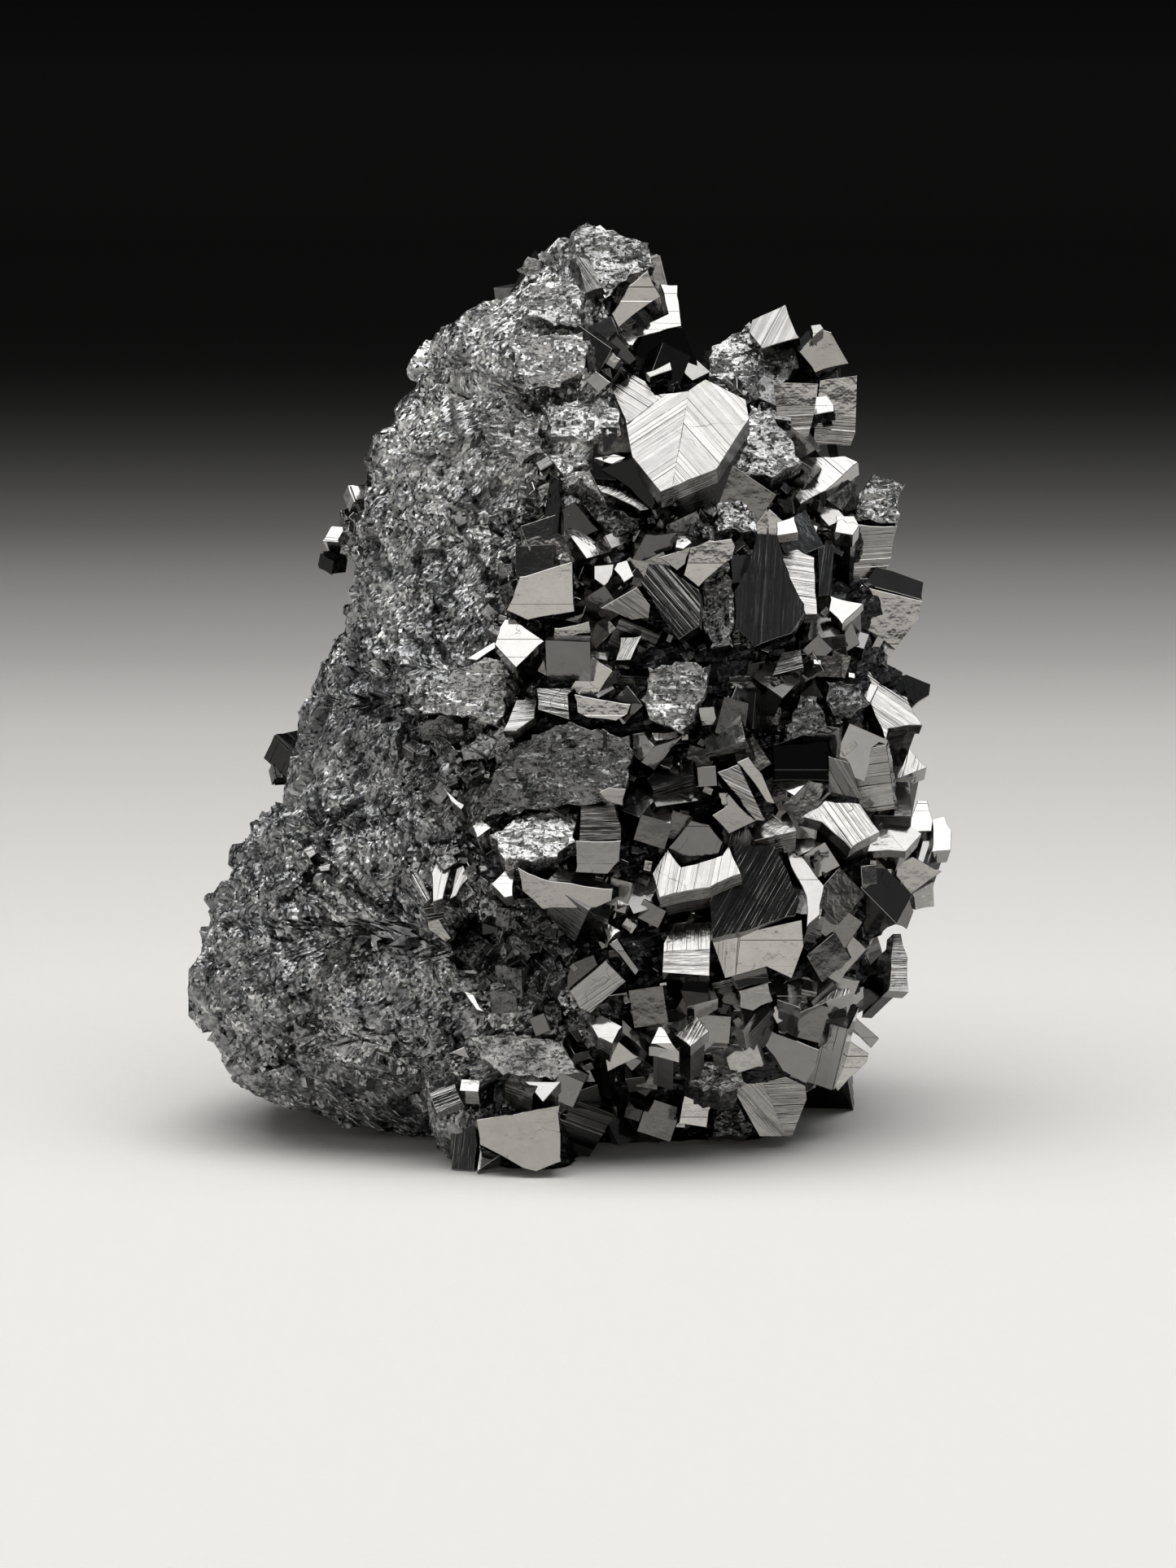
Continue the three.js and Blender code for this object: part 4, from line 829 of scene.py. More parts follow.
def triangles(outline: list[Point]) -> list[list[Point]]:
    """Fill an outline with anticlockwise triangles.

    Args:
        outline: its corners.

    Returns:
        The three corners of each triangle.
    """
    filled = []
    for a, b, c in tessellate_polygon([[Vector((x, y, 0)) for x, y in outline]]):
        corners = [outline[a], outline[b], outline[c]]
        size = area_of(corners)
        if abs(size) > 1e-7:
            filled.append(corners if size > 0 else corners[::-1])
    return filled


@dataclass(frozen=True)
class Ribs:
    """Growth lines: long steps that all run one way.

    Args:
        tread: narrowest and widest step.
        riser: narrowest and widest rise between steps.
        climb: how steep a rise is.
        lean: how much a step leans.
        reach: how far the steps may wander up or down.
    """

    tread: Point
    riser: Point
    climb: float
    lean: float
    reach: float

    def profile(self, draw: Draw, low: float, high: float) -> tuple[list[float], list[float]]:
        """The steps from low to high.

        Args:
            draw: where the sizes come from.
            low: where the steps start.
            high: where they end.

        Returns:
            The places of the step edges and their heights.
        """
        places, heights = [low], [0.0]
        pace, start = draw(1.2, 3), draw(0, 6)
        while places[-1] < high:
            bundle = 1 + 3.5 * (0.5 + 0.5 * math.sin(places[-1] * pace + start))
            wide = self.tread[0] + (self.tread[1] - self.tread[0]) * draw() ** bundle
            places.append(places[-1] + wide)
            heights.append(heights[-1] + wide * math.tan(math.radians(draw(-self.lean, self.lean))))
            narrow = draw(*self.riser)
            up = 1 if draw() < 0.5 - heights[-1] / self.reach / 2 else -1
            places.append(places[-1] + narrow)
            slope = self.climb * (0.15 + 0.85 * draw() ** 2)
            heights.append(heights[-1] + up * narrow * math.tan(math.radians(slope)))
        return places, heights


FINE_RIBS = Ribs(tread=(0.02, 0.4), riser=(0.01, 0.05), climb=40, lean=4, reach=0.1)
DIM_RIBS = Ribs(tread=(0.02, 0.17), riser=(0.008, 0.03), climb=62, lean=6, reach=0.08)
BROAD_RIBS = Ribs(tread=(0.06, 0.8), riser=(0.02, 0.08), climb=40, lean=4, reach=0.16)
LOW_STEPS = Ribs(tread=(0.5, 4.2), riser=(0.02, 0.06), climb=44, lean=1.6, reach=0.1)
CHIPS = Rubble(size=1.3, rise=0.1, tilt=0.16, groove=0.05, salt=40)
FINE_CHIPS = Rubble(size=0.5, rise=0.03, tilt=0.16, groove=0.02, salt=50)


class Stock:
    """The corners and faces of one mesh while it is being made."""

    def __init__(self) -> None:
        """Start with nothing."""
        self.points: list[np.ndarray] = []
        self.faces: list[tuple[int, ...]] = []
        self.cuts: list[int] = []
        self.tones: list[float] = []
        self.laid: list[Point] = []

    def add(self, corners: np.ndarray, cut: Cut, tone: float, laid: list[Point]) -> None:
        """Add one flat face.

        Args:
            corners: its corners in the model's frame.
            cut: how its surface ends.
            tone: its tone, from 0 to 1.
            laid: where each corner lies along and across the growth lines.
        """
        start = len(self.points)
        self.points.extend(corners)
        self.faces.append(tuple(range(start, start + len(corners))))
        self.cuts.append(cut.value)
        self.tones.append(tone)
        self.laid.extend(laid)

    def make(self, name: str, finishes: dict[Cut, bpy.types.Material]) -> bpy.types.Object:
        """Make the mesh, inside the solid's box.

        Args:
            name: the piece's name.
            finishes: the material of each cut.

        Returns:
            The new object.
        """
        mesh = bpy.data.meshes.new(name)
        mesh.from_pydata(fitted(np.array(self.points)), [], self.faces)
        used = sorted(set(self.cuts))
        for cut in used:
            mesh.materials.append(finishes[Cut(cut)])
        mesh.polygons.foreach_set("material_index", [used.index(cut) for cut in self.cuts])
        mesh.attributes.new("tone", "FLOAT", "FACE").data.foreach_set("value", self.tones)
        layer = mesh.uv_layers.new(name="growth")
        layer.data.foreach_set("uv", np.array(self.laid, float).ravel())
        return put_up(mesh)


def fitted(points: np.ndarray) -> list[list[float]]:
    """Bring points in millimetres to metres, kept inside the solid's box and above the floor."""
    low, high = np.array(CAD_BOX[0]), np.array(CAD_BOX[1])
    return np.clip(points * MM, low, high).tolist()


def put_up(mesh: bpy.types.Mesh) -> bpy.types.Object:
    """Place a mesh in the scene under its own name.

    Args:
        mesh: the mesh.

    Returns:
        The new object.
    """
    mesh.update()
    piece = bpy.data.objects.new(mesh.name, mesh)
    bpy.context.scene.collection.objects.link(piece)
    return piece


@dataclass
class Plate:
    """One crystal face with its relief, a worn edge and sides that run down into the mass.

    Args:
        origin: the place its outline is measured from.
        along: direction of its ribs.
        out: direction it faces.
        outline: its corners along and across the ribs.
        depth: how far its sides run down.
        cut: how its surface ends.
        tone: its tone, from 0 to 1.
        draw: where its chances come from.
        edge: width of its worn edge.
        chips: depth of the deepest chip along its sides.
        ribs: its growth lines, where it has them.
        chip_gap: how far apart the chips lie.
        flake: width of the flakes of a broken face.
        waist: how far down its sides stand straight.
        taper: how far the rest of its sides is drawn in.
        shelf: height of the step between the two.
        under: the share of its tone that lower sides keep, a painted shade where they run down into the mass.
    """

    origin: np.ndarray
    along: np.ndarray
    out: np.ndarray
    outline: list[Point]
    depth: float
    cut: Cut
    tone: float
    draw: Draw
    edge: float = 0.05
    chips: float = 0.09
    ribs: Ribs = FINE_RIBS
    chip_gap: float = 1.0
    flake: float = 0.3
    waist: Point = (0.6, 1.5)
    taper: Point = (0.1, 0.35)
    shelf: float = 0.06
    under: float = 0.25

    def place(self, corner: Point, height: float) -> np.ndarray:
        """A corner of the outline, at a height off the plane, in the model's frame."""
        across = np.cross(self.out, self.along)
        return self.origin + corner[0] * self.along + corner[1] * across + height * self.out

    def chipped(self) -> list[Point]:
        """The outline, anticlockwise, with small chips along its sides."""
        outline = self.outline if area_of(self.outline) > 0 else self.outline[::-1]
        ragged = self.cut is Cut.BROKEN
        spacing, deepest = (self.chip_gap / 2, self.chips * 3) if ragged else (self.chip_gap, self.chips)
        worn = []
        for here, there in zip(outline, outline[1:] + outline[:1]):
            way = np.subtract(there, here)
            length = float(np.hypot(*way))
            worn.append(here)
            count = int(length / spacing)
            for step in range(count):
                spot = (step + self.draw(0.15, 0.85)) / count
                inwards = np.array([-way[1], way[0]]) / length * self.draw(-0.15, 1) * deepest
                worn.append(tuple(np.add(here, way * (0.06 + 0.88 * spot)) + inwards))
        return worn

    def build(self, stock: Stock) -> None:
        """Add the face, its worn edge and its sides.

        Args:
            stock: what they are added to.
        """
        outer = self.chipped()
        inner = inset(outer, self.edge)
        if area_of(inner) <= 0:
            inner = outer
        if self.cut is Cut.BROKEN:
            self.build_broken(stock, outer, inner)
            return
        ribs = self.ribs if self.cut is Cut.RIBBED else LOW_STEPS
        span = [corner[1] for corner in outer]
        places, heights = ribs.profile(self.draw, min(span) - self.draw(0, 0.8), max(span))

        def level(corner: Point) -> float:
            """The height of the steps at a corner."""
            return float(np.interp(corner[1], places, heights))

        strips = slice_pieces(triangles(inner), (0.0, 1.0), places)
        self.close(stock, strips, outer, inner, [((0.0, 1.0), places)], level)

    def build_broken(self, stock: Stock, outer: list[Point], inner: list[Point]) -> None:
        """Add a face that broke: small tilted chips.

        Args:
            stock: what it is added to.
            outer: the outline.
            inner: the outline inside the worn edge.
        """
        families = []
        for axis, way in enumerate(((1.0, 0.0), (0.0, 1.0))):
            span = [corner[axis] for corner in outer]
            count = int((max(span) - min(span)) / self.flake)
            places = [min(span) + self.flake * (mark + self.draw(-0.3, 0.3)) for mark in range(1, count + 1)]
            families.append((way, places))
        pieces = triangles(inner)
        for way, places in families:
            pieces = slice_pieces(pieces, way, places)
        corners = sorted({(round(x, 5), round(y, 5)) for piece in pieces for x, y in piece})
        spots = np.array([self.place(corner, 0) for corner in corners])
        raised = CHIPS.height(spots) + FINE_CHIPS.height(spots)
        known = dict(zip(corners, raised))

        def level(corner: Point) -> float:
            """The height of a chip's corner."""
            return float(known.get((round(corner[0], 5), round(corner[1], 5)), 0.0))

        self.close(stock, pieces, outer, inner, families, level)

    def shade_of(self, piece: list[Point]) -> float:
        """The tone of one piece of the face: ribs differ a little from each other.

        Args:
            piece: its corners.

        Returns:
            The tone, from 0 to 1.
        """
        if self.cut is not Cut.RIBBED:
            return self.tone
        chance = math.sin(round(piece[0][1] * 60) * 12.9898) * 437.5453 % 1
        return min(max(self.tone + (0.5 - 0.32 * self.tone) * (chance - 0.6), 0), 1)

    def marks(self, start: Point, end: Point, families: list[tuple[Point, list[float]]]) -> list[float]:
        """Where cuts cross one side.

        Args:
            start: where the side starts.
            end: where it ends.
            families: the cuts, as a direction across and places.

        Returns:
            The shares of its length at its ends and at each cut, in rising order.
        """
        shares = {0.0, 1.0}
        for way, places in families:
            a, b = (corner[0] * way[0] + corner[1] * way[1] for corner in (start, end))
            if abs(b - a) > 1e-9:
                shares |= {(place - a) / (b - a) for place in places if min(a, b) < place < max(a, b)}
        return sorted(shares)

    def close(self, stock: Stock, pieces: list[list[Point]], outer: list[Point], inner: list[Point],
              families: list[tuple[Point, list[float]]], level: Callable[[Point], float]) -> None:
        """Add the pieces of a face, then the edge, sides and bottom that close it.

        Args:
            stock: what they are added to.
            pieces: the corners of each piece of the face.
            outer: the outline.
            inner: the outline inside the worn edge.
            families: the cuts, as a direction across and places.
            level: gives the height of a corner.
        """
        for piece in pieces:
            corners = np.array([self.place(corner, level(corner)) for corner in piece])
            if self.cut is Cut.BROKEN:
                for last in range(2, len(piece)):
                    some = [0, last - 1, last]
                    stock.add(corners[some], self.cut, self.tone, [piece[corner] for corner in some])
            else:
                stock.add(corners, self.cut, self.shade_of(piece), piece)
        side = Cut.BROKEN if self.cut is Cut.BROKEN else Cut.RIBBED if self.draw() < 0.5 else Cut.SMOOTH
        lower = inset(outer, self.draw(*self.taper))
        step_down = min(self.depth * 0.45, self.draw(*self.waist))
        # The lower sides and the bottom keep only part of the tone: painted shade.
        under = self.tone * self.under
        run = 0.0
        for here in range(len(inner)):
            after = (here + 1) % len(inner)
            marks = self.marks(inner[here], inner[after], families)
            length = math.dist(outer[here], outer[after])
            for pair in zip(marks, marks[1:]):
                top, rim, drawn = (
                    [between(loop[here], loop[after], share) for share in pair]
                    for loop in (inner, outer, lower))
                heights = [level(corner) for corner in top]
                crest = [self.place(corner, height) for corner, height in zip(top, heights)][::-1]
                ring = [self.place(corner, height - self.edge) for corner, height in zip(rim, heights)]
                waist = [self.place(corner, -step_down) for corner in rim]
                shelf = [self.place(corner, -step_down - self.shelf) for corner in drawn]
                foot = [self.place(corner, -self.depth) for corner in drawn]
                laid = [(run + length * share, 0.0) for share in pair]
                middle = [(u, step_down) for u, _ in laid]
                deep = [(u, self.depth) for u, _ in laid]
                stock.add(np.array(ring + crest), side, self.tone, laid + laid[::-1])
                stock.add(np.array(waist + ring[::-1]), side, self.tone, middle + laid[::-1])
                stock.add(np.array(shelf + waist[::-1]), side, under, middle + middle[::-1])
                stock.add(np.array(foot + shelf[::-1]), side, under, deep + middle[::-1])
            run += length
        for piece in triangles(lower):
            corners = np.array([self.place(corner, -self.depth) for corner in piece[::-1]])
            stock.add(corners, side, under, piece[::-1])


@dataclass
class Block:
    """A blocky crystal: a core with worn edges and a stepped plate on each side that shows.

    Args:
        middle: its middle in the model's frame.
        axes: its three directions, one a row.
        half: half its length along each.
        tone: its tone, from 0 to 1.
        draw: where its chances come from.
    """

    middle: np.ndarray
    axes: np.ndarray
    half: np.ndarray
    tone: float
    draw: Draw
    ledge: float = 0.1

    def build_core(self, stock: Stock, shrink: float, worn: float, cut: Cut = Cut.SMOOTH) -> None:
        """Add the core.

        Args:
            stock: what it is added to.
            shrink: how far it lies inside the crystal's size.
            worn: width of its worn edges.
            cut: how its surface ends.
        """
        half = self.half - shrink

        def corner(sign: tuple[int, ...], axis: int) -> np.ndarray:
            """The corner of one side.

            Args:
                sign: the signs of its place along the axes.
                axis: the axis that the side faces along.

            Returns:
                The corner in the model's frame.
            """
            size = half - worn
            size[axis] = half[axis]
            return self.middle + (np.array(sign) * size) @ self.axes

        def add(corners: list[np.ndarray]) -> None:
            """Add a face, turned to look outwards.

            Args:
                corners: its corners, in order.
            """
            loop = np.array(corners)
            normal = np.cross(loop[1] - loop[0], loop[2] - loop[0])
            if normal @ (loop.mean(0) - self.middle) < 0:
                loop = loop[::-1]
            spot = loop @ self.axes.T
            stock.add(loop, cut, self.tone, [(p[0] + p[2], p[1]) for p in spot])

        for axis in range(3):
            first, second = [other for other in range(3) if other != axis]
            for side in (-1, 1):
                add([corner(turn[:axis] + (side,) + turn[axis:], axis) for turn in ROUND])
            for turn in ROUND:
                low, high = (turn[:axis] + (side,) + turn[axis:] for side in (-1, 1))
                add([corner(low, first), corner(high, first), corner(high, second), corner(low, second)])
        for sign in product((-1, 1), repeat=3):
            add([corner(sign, axis) for axis in range(3)])

    def build(self, stock: Stock, outwards: np.ndarray, cuts: tuple[Cut, ...]) -> None:
        """Add the core and a plate on each side that looks outwards.

        Args:
            stock: what they are added to.
            outwards: direction away from the mass.
            cuts: what a side may be, one of them drawn for each.
        """
        self.build_core(stock, self.ledge, 0.03)
        for axis in range(3):
            for side in (-1, 1):
                out = self.axes[axis] * side
                ends = cuts[int(self.draw() * len(cuts)) % len(cuts)]
                swap = self.draw() < 0.5
                rim = [self.draw(0.0, 0.16) + 0.02 for _ in range(4)]
                seed = int(self.draw(1, 1e6))
                if out @ outwards < -0.1:
                    continue
                first, second = [other for other in range(3) if other != axis]
                if swap:
                    first, second = second, first
                wide, high = self.half[first], self.half[second]
                outline = [(-wide + rim[0], -high + rim[1]), (wide - rim[2], -high + rim[1]),
                           (wide - rim[2], high - rim[3]), (-wide + rim[0], high - rim[3])]
                plate = Plate(
                    origin=self.middle + out * self.half[axis], along=self.axes[first], out=out,
                    outline=outline, depth=self.ledge * 2, cut=ends, tone=self.tone, draw=Draw(seed),
                    edge=0.015, chips=0.05, ribs=BROAD_RIBS)
                plate.build(stock)


def axes_of(*turns: tuple[float, str]) -> np.ndarray:
    """The directions of a block turned by angles about axes, one after the other.

    Args:
        turns: each angle, with the axis it turns about.

    Returns:
        A 3 by 3 array, one direction a row.
    """
    turn = Matrix.Identity(3)
    for angle, axis in turns:
        turn = Matrix.Rotation(math.radians(angle), 3, axis) @ turn
    return np.array(turn).T


def half_sizes_of(draw: Draw, size: float, stretch: Point) -> np.ndarray:
    """Half the three lengths of a block about this big."""
    return np.array([size * draw(*stretch) / 2 for _ in range(3)])


def tumbled(draw: Draw, lean: float) -> np.ndarray:
    """The directions of a block turned at random up to a lean."""
    return axes_of(*[(draw(-lean, lean), axis) for axis in "XYZ"])


def shaded(x: float, w: float, tone: float) -> float:
    """The tone of a small crystal, darker where its neighbours shade it."""
    return tone * SHADE_SHARE if any(patch.far(x, w) < 1 for patch in SHADE) else tone


def facing(pitch: float, yaw: float, roll: float) -> np.ndarray:
    """The axes of a block whose front looks up by a pitch and aside by a yaw, turned by a roll."""
    return axes_of((roll, "Y"), (-pitch, "X"), (yaw, "Z"))


def is_bare(x: float, w: float) -> bool:
    """Whether a place lies in a hollow or on a bare part."""
    return any(patch.far(x, w) < 1 for patch in HOLLOWS + BARE)


def heap_at(x: float, w: float) -> Heap | None:
    """The heap of broken pieces that a place lies in, if any."""
    return next((heap for heap in HEAPS if heap.far(x, w) < 1), None)


def within(x: float, w: float, outline: list[Point]) -> bool:
    """Whether a place lies inside an outline.

    Args:
        x: place across.
        w: height.
        outline: the outline's corners.

    Returns:
        True where it does.
    """
    inside = False
    for (x0, w0), (x1, w1) in zip(outline, outline[1:] + outline[:1]):
        if (w0 > w) != (w1 > w) and x < x0 + (x1 - x0) * (w - w0) / (w1 - w0):
            inside = not inside
    return inside


@dataclass
class ShowCrystals:
    """The crystals of the show face, each face where it shows."""

    root: float = 4.6
    perched_root: float = 1.4
    seed: int = 11

    def plate(self, facet: Facet, outline: list[Point], cut: Cut, lie: float, draw: Draw,
              tone: float) -> Plate:
        """One face laid on its plane.

        Args:
            facet: the face.
            outline: the corners x, w of the part that is built.
            cut: how its surface ends.
            lie: the direction of its ribs.
            draw: where its chances come from.
            tone: its tone.

        Returns:
            The plate.
        """
        xs, ws = facet.corners[::2], facet.corners[1::2]
        mid_x, mid_w = (min(xs) + max(xs)) / 2, (min(ws) + max(ws)) / 2
        yaw, pitch, lay = (math.radians(angle) for angle in (facet.yaw, facet.pitch, lie))
        out = np.array([math.sin(yaw) * math.cos(pitch), math.sin(pitch), math.cos(yaw) * math.cos(pitch)])
        level = float(FORM.front_at(mid_x, mid_w)) + facet.proud
        if facet in SHARDS:
            level += float(FORM.relief_at(mid_x, mid_w) - FORM.drop_at(mid_x, mid_w))
        origin = np.array([mid_x, mid_w, level])
        rise = -(out[0] * math.cos(lay) + out[1] * math.sin(lay)) / out[2]
        along = unit(np.array([math.cos(lay), math.sin(lay), rise]))
        across = np.cross(out, along)
        laid = []
        for x, w in outline:
            t = -(out[0] * (x - mid_x) + out[1] * (w - mid_w)) / out[2]
            away = np.array([x - mid_x, w - mid_w, t])
            laid.append((float(away @ along), float(away @ across)))
        dim = facet.name in FINE_LINED
        root = self.perched_root if facet.name in PERCHED else self.root
        return Plate(
            origin=stand(origin), along=turned(along), out=turned(out), outline=laid,
            depth=facet.proud + root, cut=cut, tone=tone, draw=draw,
            edge=0.012 if dim else 0.03, ribs=DIM_RIBS if dim else FINE_RIBS)

    def build(self, stock: Stock) -> None:
        """Add every face.

        Args:
            stock: what they are added to.
        """
        draw = Draw(self.seed)
        for facet in FACETS + SHARDS:
            tone = DIM.get(facet.name, 0.6 + 0.4 * draw())
            outline, looks = facet.outline(), draw.split()
            self.build_part(stock, facet, facet.name, outline, facet.cut, facet.lie, looks, tone)

    def build_part(self, stock: Stock, facet: Facet, name: str, outline: list[Point], cut: Cut, lie: float,
                   draw: Draw, tone: float) -> None:
        """Add a face, or one part of a folded face, to the stock.

        Args:
            stock: what it is added to.
            facet: the whole face.
            name: the face's name, or the part's.
            outline: the corners x, w of the part.
            cut: how its surface ends.
            lie: the direction of its ribs.
            draw: where its chances come from.
            tone: its tone.
        """
        if name in FOLDS:
            start, end, *halves = FOLDS[name]
            way = (start[1] - end[1], end[0] - start[0])
            place = start[0] * way[0] + start[1] * way[1]
            for side, part, (cut, lie) in zip(("left", "right"), split(outline, way, place), halves):
                self.build_part(stock, facet, f"{name} {side}", part, cut, lie, draw, tone)
            return
        plate = self.plate(facet, outline, cut, lie, draw, tone)
        if name != facet.name:
            plate.chips, plate.edge = 0.0, 0.008
        plate.build(stock)


@dataclass
class FillCrystals:
    """Blocky crystals between the faces of the show face."""

    step: float = 4.3
    wander: float = 1.1
    size: Point = (2.6, 4.2)
    sink: float = 0.62
    lean: float = 26
    low: float = 1.5
    high: float = 54
    stretch: Point = (0.72, 1.2)
    seed: int = 41

    def build(self, stock: Stock) -> None:
        """Add the crystals.

        Args:
            stock: what they are added to.
        """
        draw, looks = Draw(self.seed), Draw(self.seed + 1)
        w = self.low
        while w < self.high:
            centre, half = FORM.middle(w)
            x = float(FORM.along(FORM.crust, w)) + self.step / 2
            while x < centre + half:
                at_x, at_w = x + draw(-self.wander, self.wander), w + draw(-self.wander, self.wander)
                size = draw(*self.size)
                half_sizes, axes = half_sizes_of(draw, size, self.stretch), tumbled(draw, self.lean)
                t = float(FORM.front_at(at_x, at_w)) - self.size[0] * self.sink
                if not is_bare(at_x, at_w) and not any(
                        within(at_x, at_w, facet.outline()) for facet in FACETS):
                    tone = shaded(at_x, at_w, looks(0.45, 1))
                    cuts = (Cut.SMOOTH, Cut.RIBBED, Cut.RIBBED, Cut.BROKEN)
                    heap = heap_at(at_x, at_w)
                    if heap:
                        tone, cuts = heap.tone, (Cut.BROKEN,)
                    block = Block(stand(np.array([at_x, at_w, t])), axes, half_sizes, tone, looks.split())
                    outwards = turned(unit(np.array([(at_x - centre) / half * 0.8, 0.2, 1.0])))
                    block.build(stock, outwards, cuts)
                x += self.step
            w += self.step


@dataclass
class BackCrystals:
    """The larger blocky crystals of the right side and the back."""

    step: float = 6.6
    columns: int = 7
    wander: float = 1.2
    size: Point = (5.4, 8)
    sink: float = 0.3
    inset: float = 0.5
    lean: float = 55
    full_half: float = 19
    turn_end: float = 0.76
    low: float = 1.5
    high: float = 43
    stretch: Point = (0.72, 1.2)
    seed: int = 74

    def build(self, stock: Stock) -> None:
        """Add the crystals.

        Args:
            stock: what they are added to.
        """
        draw, looks = Draw(self.seed), Draw(self.seed + 1)
        w = self.low + self.step / 2
        while w < self.high:
            centre, half = FORM.middle(w)
            sizes = [length * min(1, half / self.full_half) for length in self.size]
            for column in range(self.columns):
                across = math.cos(math.pi * self.turn_end * (column + draw()) / self.columns)
                at_x = centre + (half - sizes[0] * self.inset) * across
                at_w = w + draw(-self.wander, self.wander)
                size = draw(*sizes)
                half_sizes, axes = half_sizes_of(draw, size, self.stretch), tumbled(draw, self.lean)
                t = sizes[0] * self.sink - float(FORM.back_at(at_x, at_w))
                tone = looks()
                block = Block(stand(np.array([at_x, at_w, t])), axes, half_sizes, tone, looks.split())
                outwards = turned(unit(np.array([across, 0.15, -math.sqrt(max(0.05, 1 - across * across))])))
                block.build(stock, outwards, (Cut.SMOOTH, Cut.RIBBED, Cut.RIBBED))
            w += self.step


@dataclass
class LooseCrystals:
    """Single crystals past the left edge and behind the summit and the shoulder."""

    stretch: Triple = (1, 1.1, 0.9)
    seed: int = 8

    def build(self, stock: Stock) -> None:
        """Add the crystals.

        Args:
            stock: what they are added to.
        """
        looks = Draw(self.seed)
        for loose in LOOSE_CRYSTALS:
            half = loose.size * np.array(self.stretch) / 2
            axes = axes_of((loose.pitch, "X"), (loose.yaw, "Z"))
            middle = stand(np.array([loose.x, loose.w, -loose.depth]))
            block = Block(middle, axes, half, loose.tone, looks.split())
            centre, half_width = FORM.middle(loose.w)
            outwards = unit(np.array([(loose.x - centre) / half_width, -0.2, 0.3]))
            block.build(stock, outwards, (Cut.SMOOTH, Cut.RIBBED))


@dataclass
class Druse:
    """Small crystals that fill the gaps between the large ones."""

    front: int = 1700
    behind: int = 300
    low: float = 0.4
    high: float = 54
    size: Point = (0.4, 2.7)
    fineness: float = 2.6
    stretch: Point = (0.75, 1.3)
    lift: Point = (-0.7, 0.8)
    tones: Point = (0.2, 1)
    ribbed: float = 0.75
    spread: float = 0.97
    behind_turn: float = 0.8
    clear_lift: float = 0.1
    clear_reach: float = 0.45
    piece_stretch: Point = (0.6, 1.2)
    piece_lift: Point = (-0.3, 0.35)
    piece_ribbed: float = 0.3
    lean: float = 48
    pitches: tuple[Point, ...] = (
        (43, 54), (42, 56), (4, 11), (5, 12), (4, 14), (18, 34), (-40, 0), (-30, 60))
    yaws: Point = (-30, 30)
    rolls: Point = (-90, 90)
    sparkle: float = 1.35
    foot: float = 24
    seed: int = 29

    def build(self, stock: Stock) -> None:
        """Add the small crystals.

        Args:
            stock: what they are added to.
        """
        draw = Draw(self.seed)
        outlines = [facet.outline() for facet in FACETS]
        for number in range(self.front + self.behind):
            w = draw(self.low, self.high)
            centre, half = FORM.middle(w)
            size = self.size[0] + (self.size[1] - self.size[0]) * draw() ** self.fineness
            half_sizes = half_sizes_of(draw, size, self.stretch)
            bounds = self.pitches[int(draw() ** (self.sparkle if w < self.foot else 1) * len(self.pitches))]
            axes = facing(draw(*bounds), draw(*self.yaws), draw(*self.rolls))
            share, lift, tone = draw(), draw(*self.lift), draw(*self.tones)
            cut = Cut.RIBBED if draw() < self.ribbed else Cut.SMOOTH
            if number < self.front:
                start = float(FORM.along(FORM.crust, w))
                x = start + (centre + half * self.spread - start) * share
                far = size * self.clear_reach
                sides = (-1, 1) if lift > self.clear_lift else (0,)
                spots = [(x + across * far, w + up * far) for across in sides for up in sides]
                if is_bare(x, w) or any(within(*spot, outline) for outline in outlines for spot in spots):
                    continue
                t = float(FORM.front_at(x, w)) + lift
                tone = shaded(x, w, tone)
                heap = heap_at(x, w)
                if heap:
                    cut, tone = Cut.BROKEN, tone * heap.tone
            else:
                x = centre + half * self.spread * math.cos(math.pi * self.behind_turn * share)
                t = -float(FORM.back_at(x, w)) - lift
            Block(stand(np.array([x, w, t])), axes, half_sizes, tone, draw).build_core(stock, 0.0, 0.02, cut)
        for heap in HEAPS:
            self.tip(stock, draw, heap)

    def tip(self, stock: Stock, draw: Draw, heap: Heap) -> None:
        """Add a heap of small broken pieces.

        Args:
            stock: what they are added to.
            draw: where its chances come from.
            heap: the heap.
        """
        for _ in range(heap.count):
            angle, far = draw(0, 2 * math.pi), math.sqrt(draw())
            x = heap.x + heap.half_x * far * math.cos(angle)
            w = heap.w + heap.half_w * far * math.sin(angle)
            size = heap.largest * (0.25 + 0.75 * draw() ** 2)
            half_sizes, axes = half_sizes_of(draw, size, self.piece_stretch), tumbled(draw, self.lean)
            relief = float(FORM.relief_at(x, w) - FORM.drop_at(x, w))
            t = float(FORM.front_at(x, w)) + relief + draw(*self.piece_lift)
            cut = Cut.RIBBED if draw() < self.piece_ribbed else Cut.BROKEN
            piece = Block(stand(np.array([x, w, t])), axes, half_sizes, heap.tone * draw(0.3, 1), draw)
            piece.build_core(stock, 0.0, 0.04, cut)


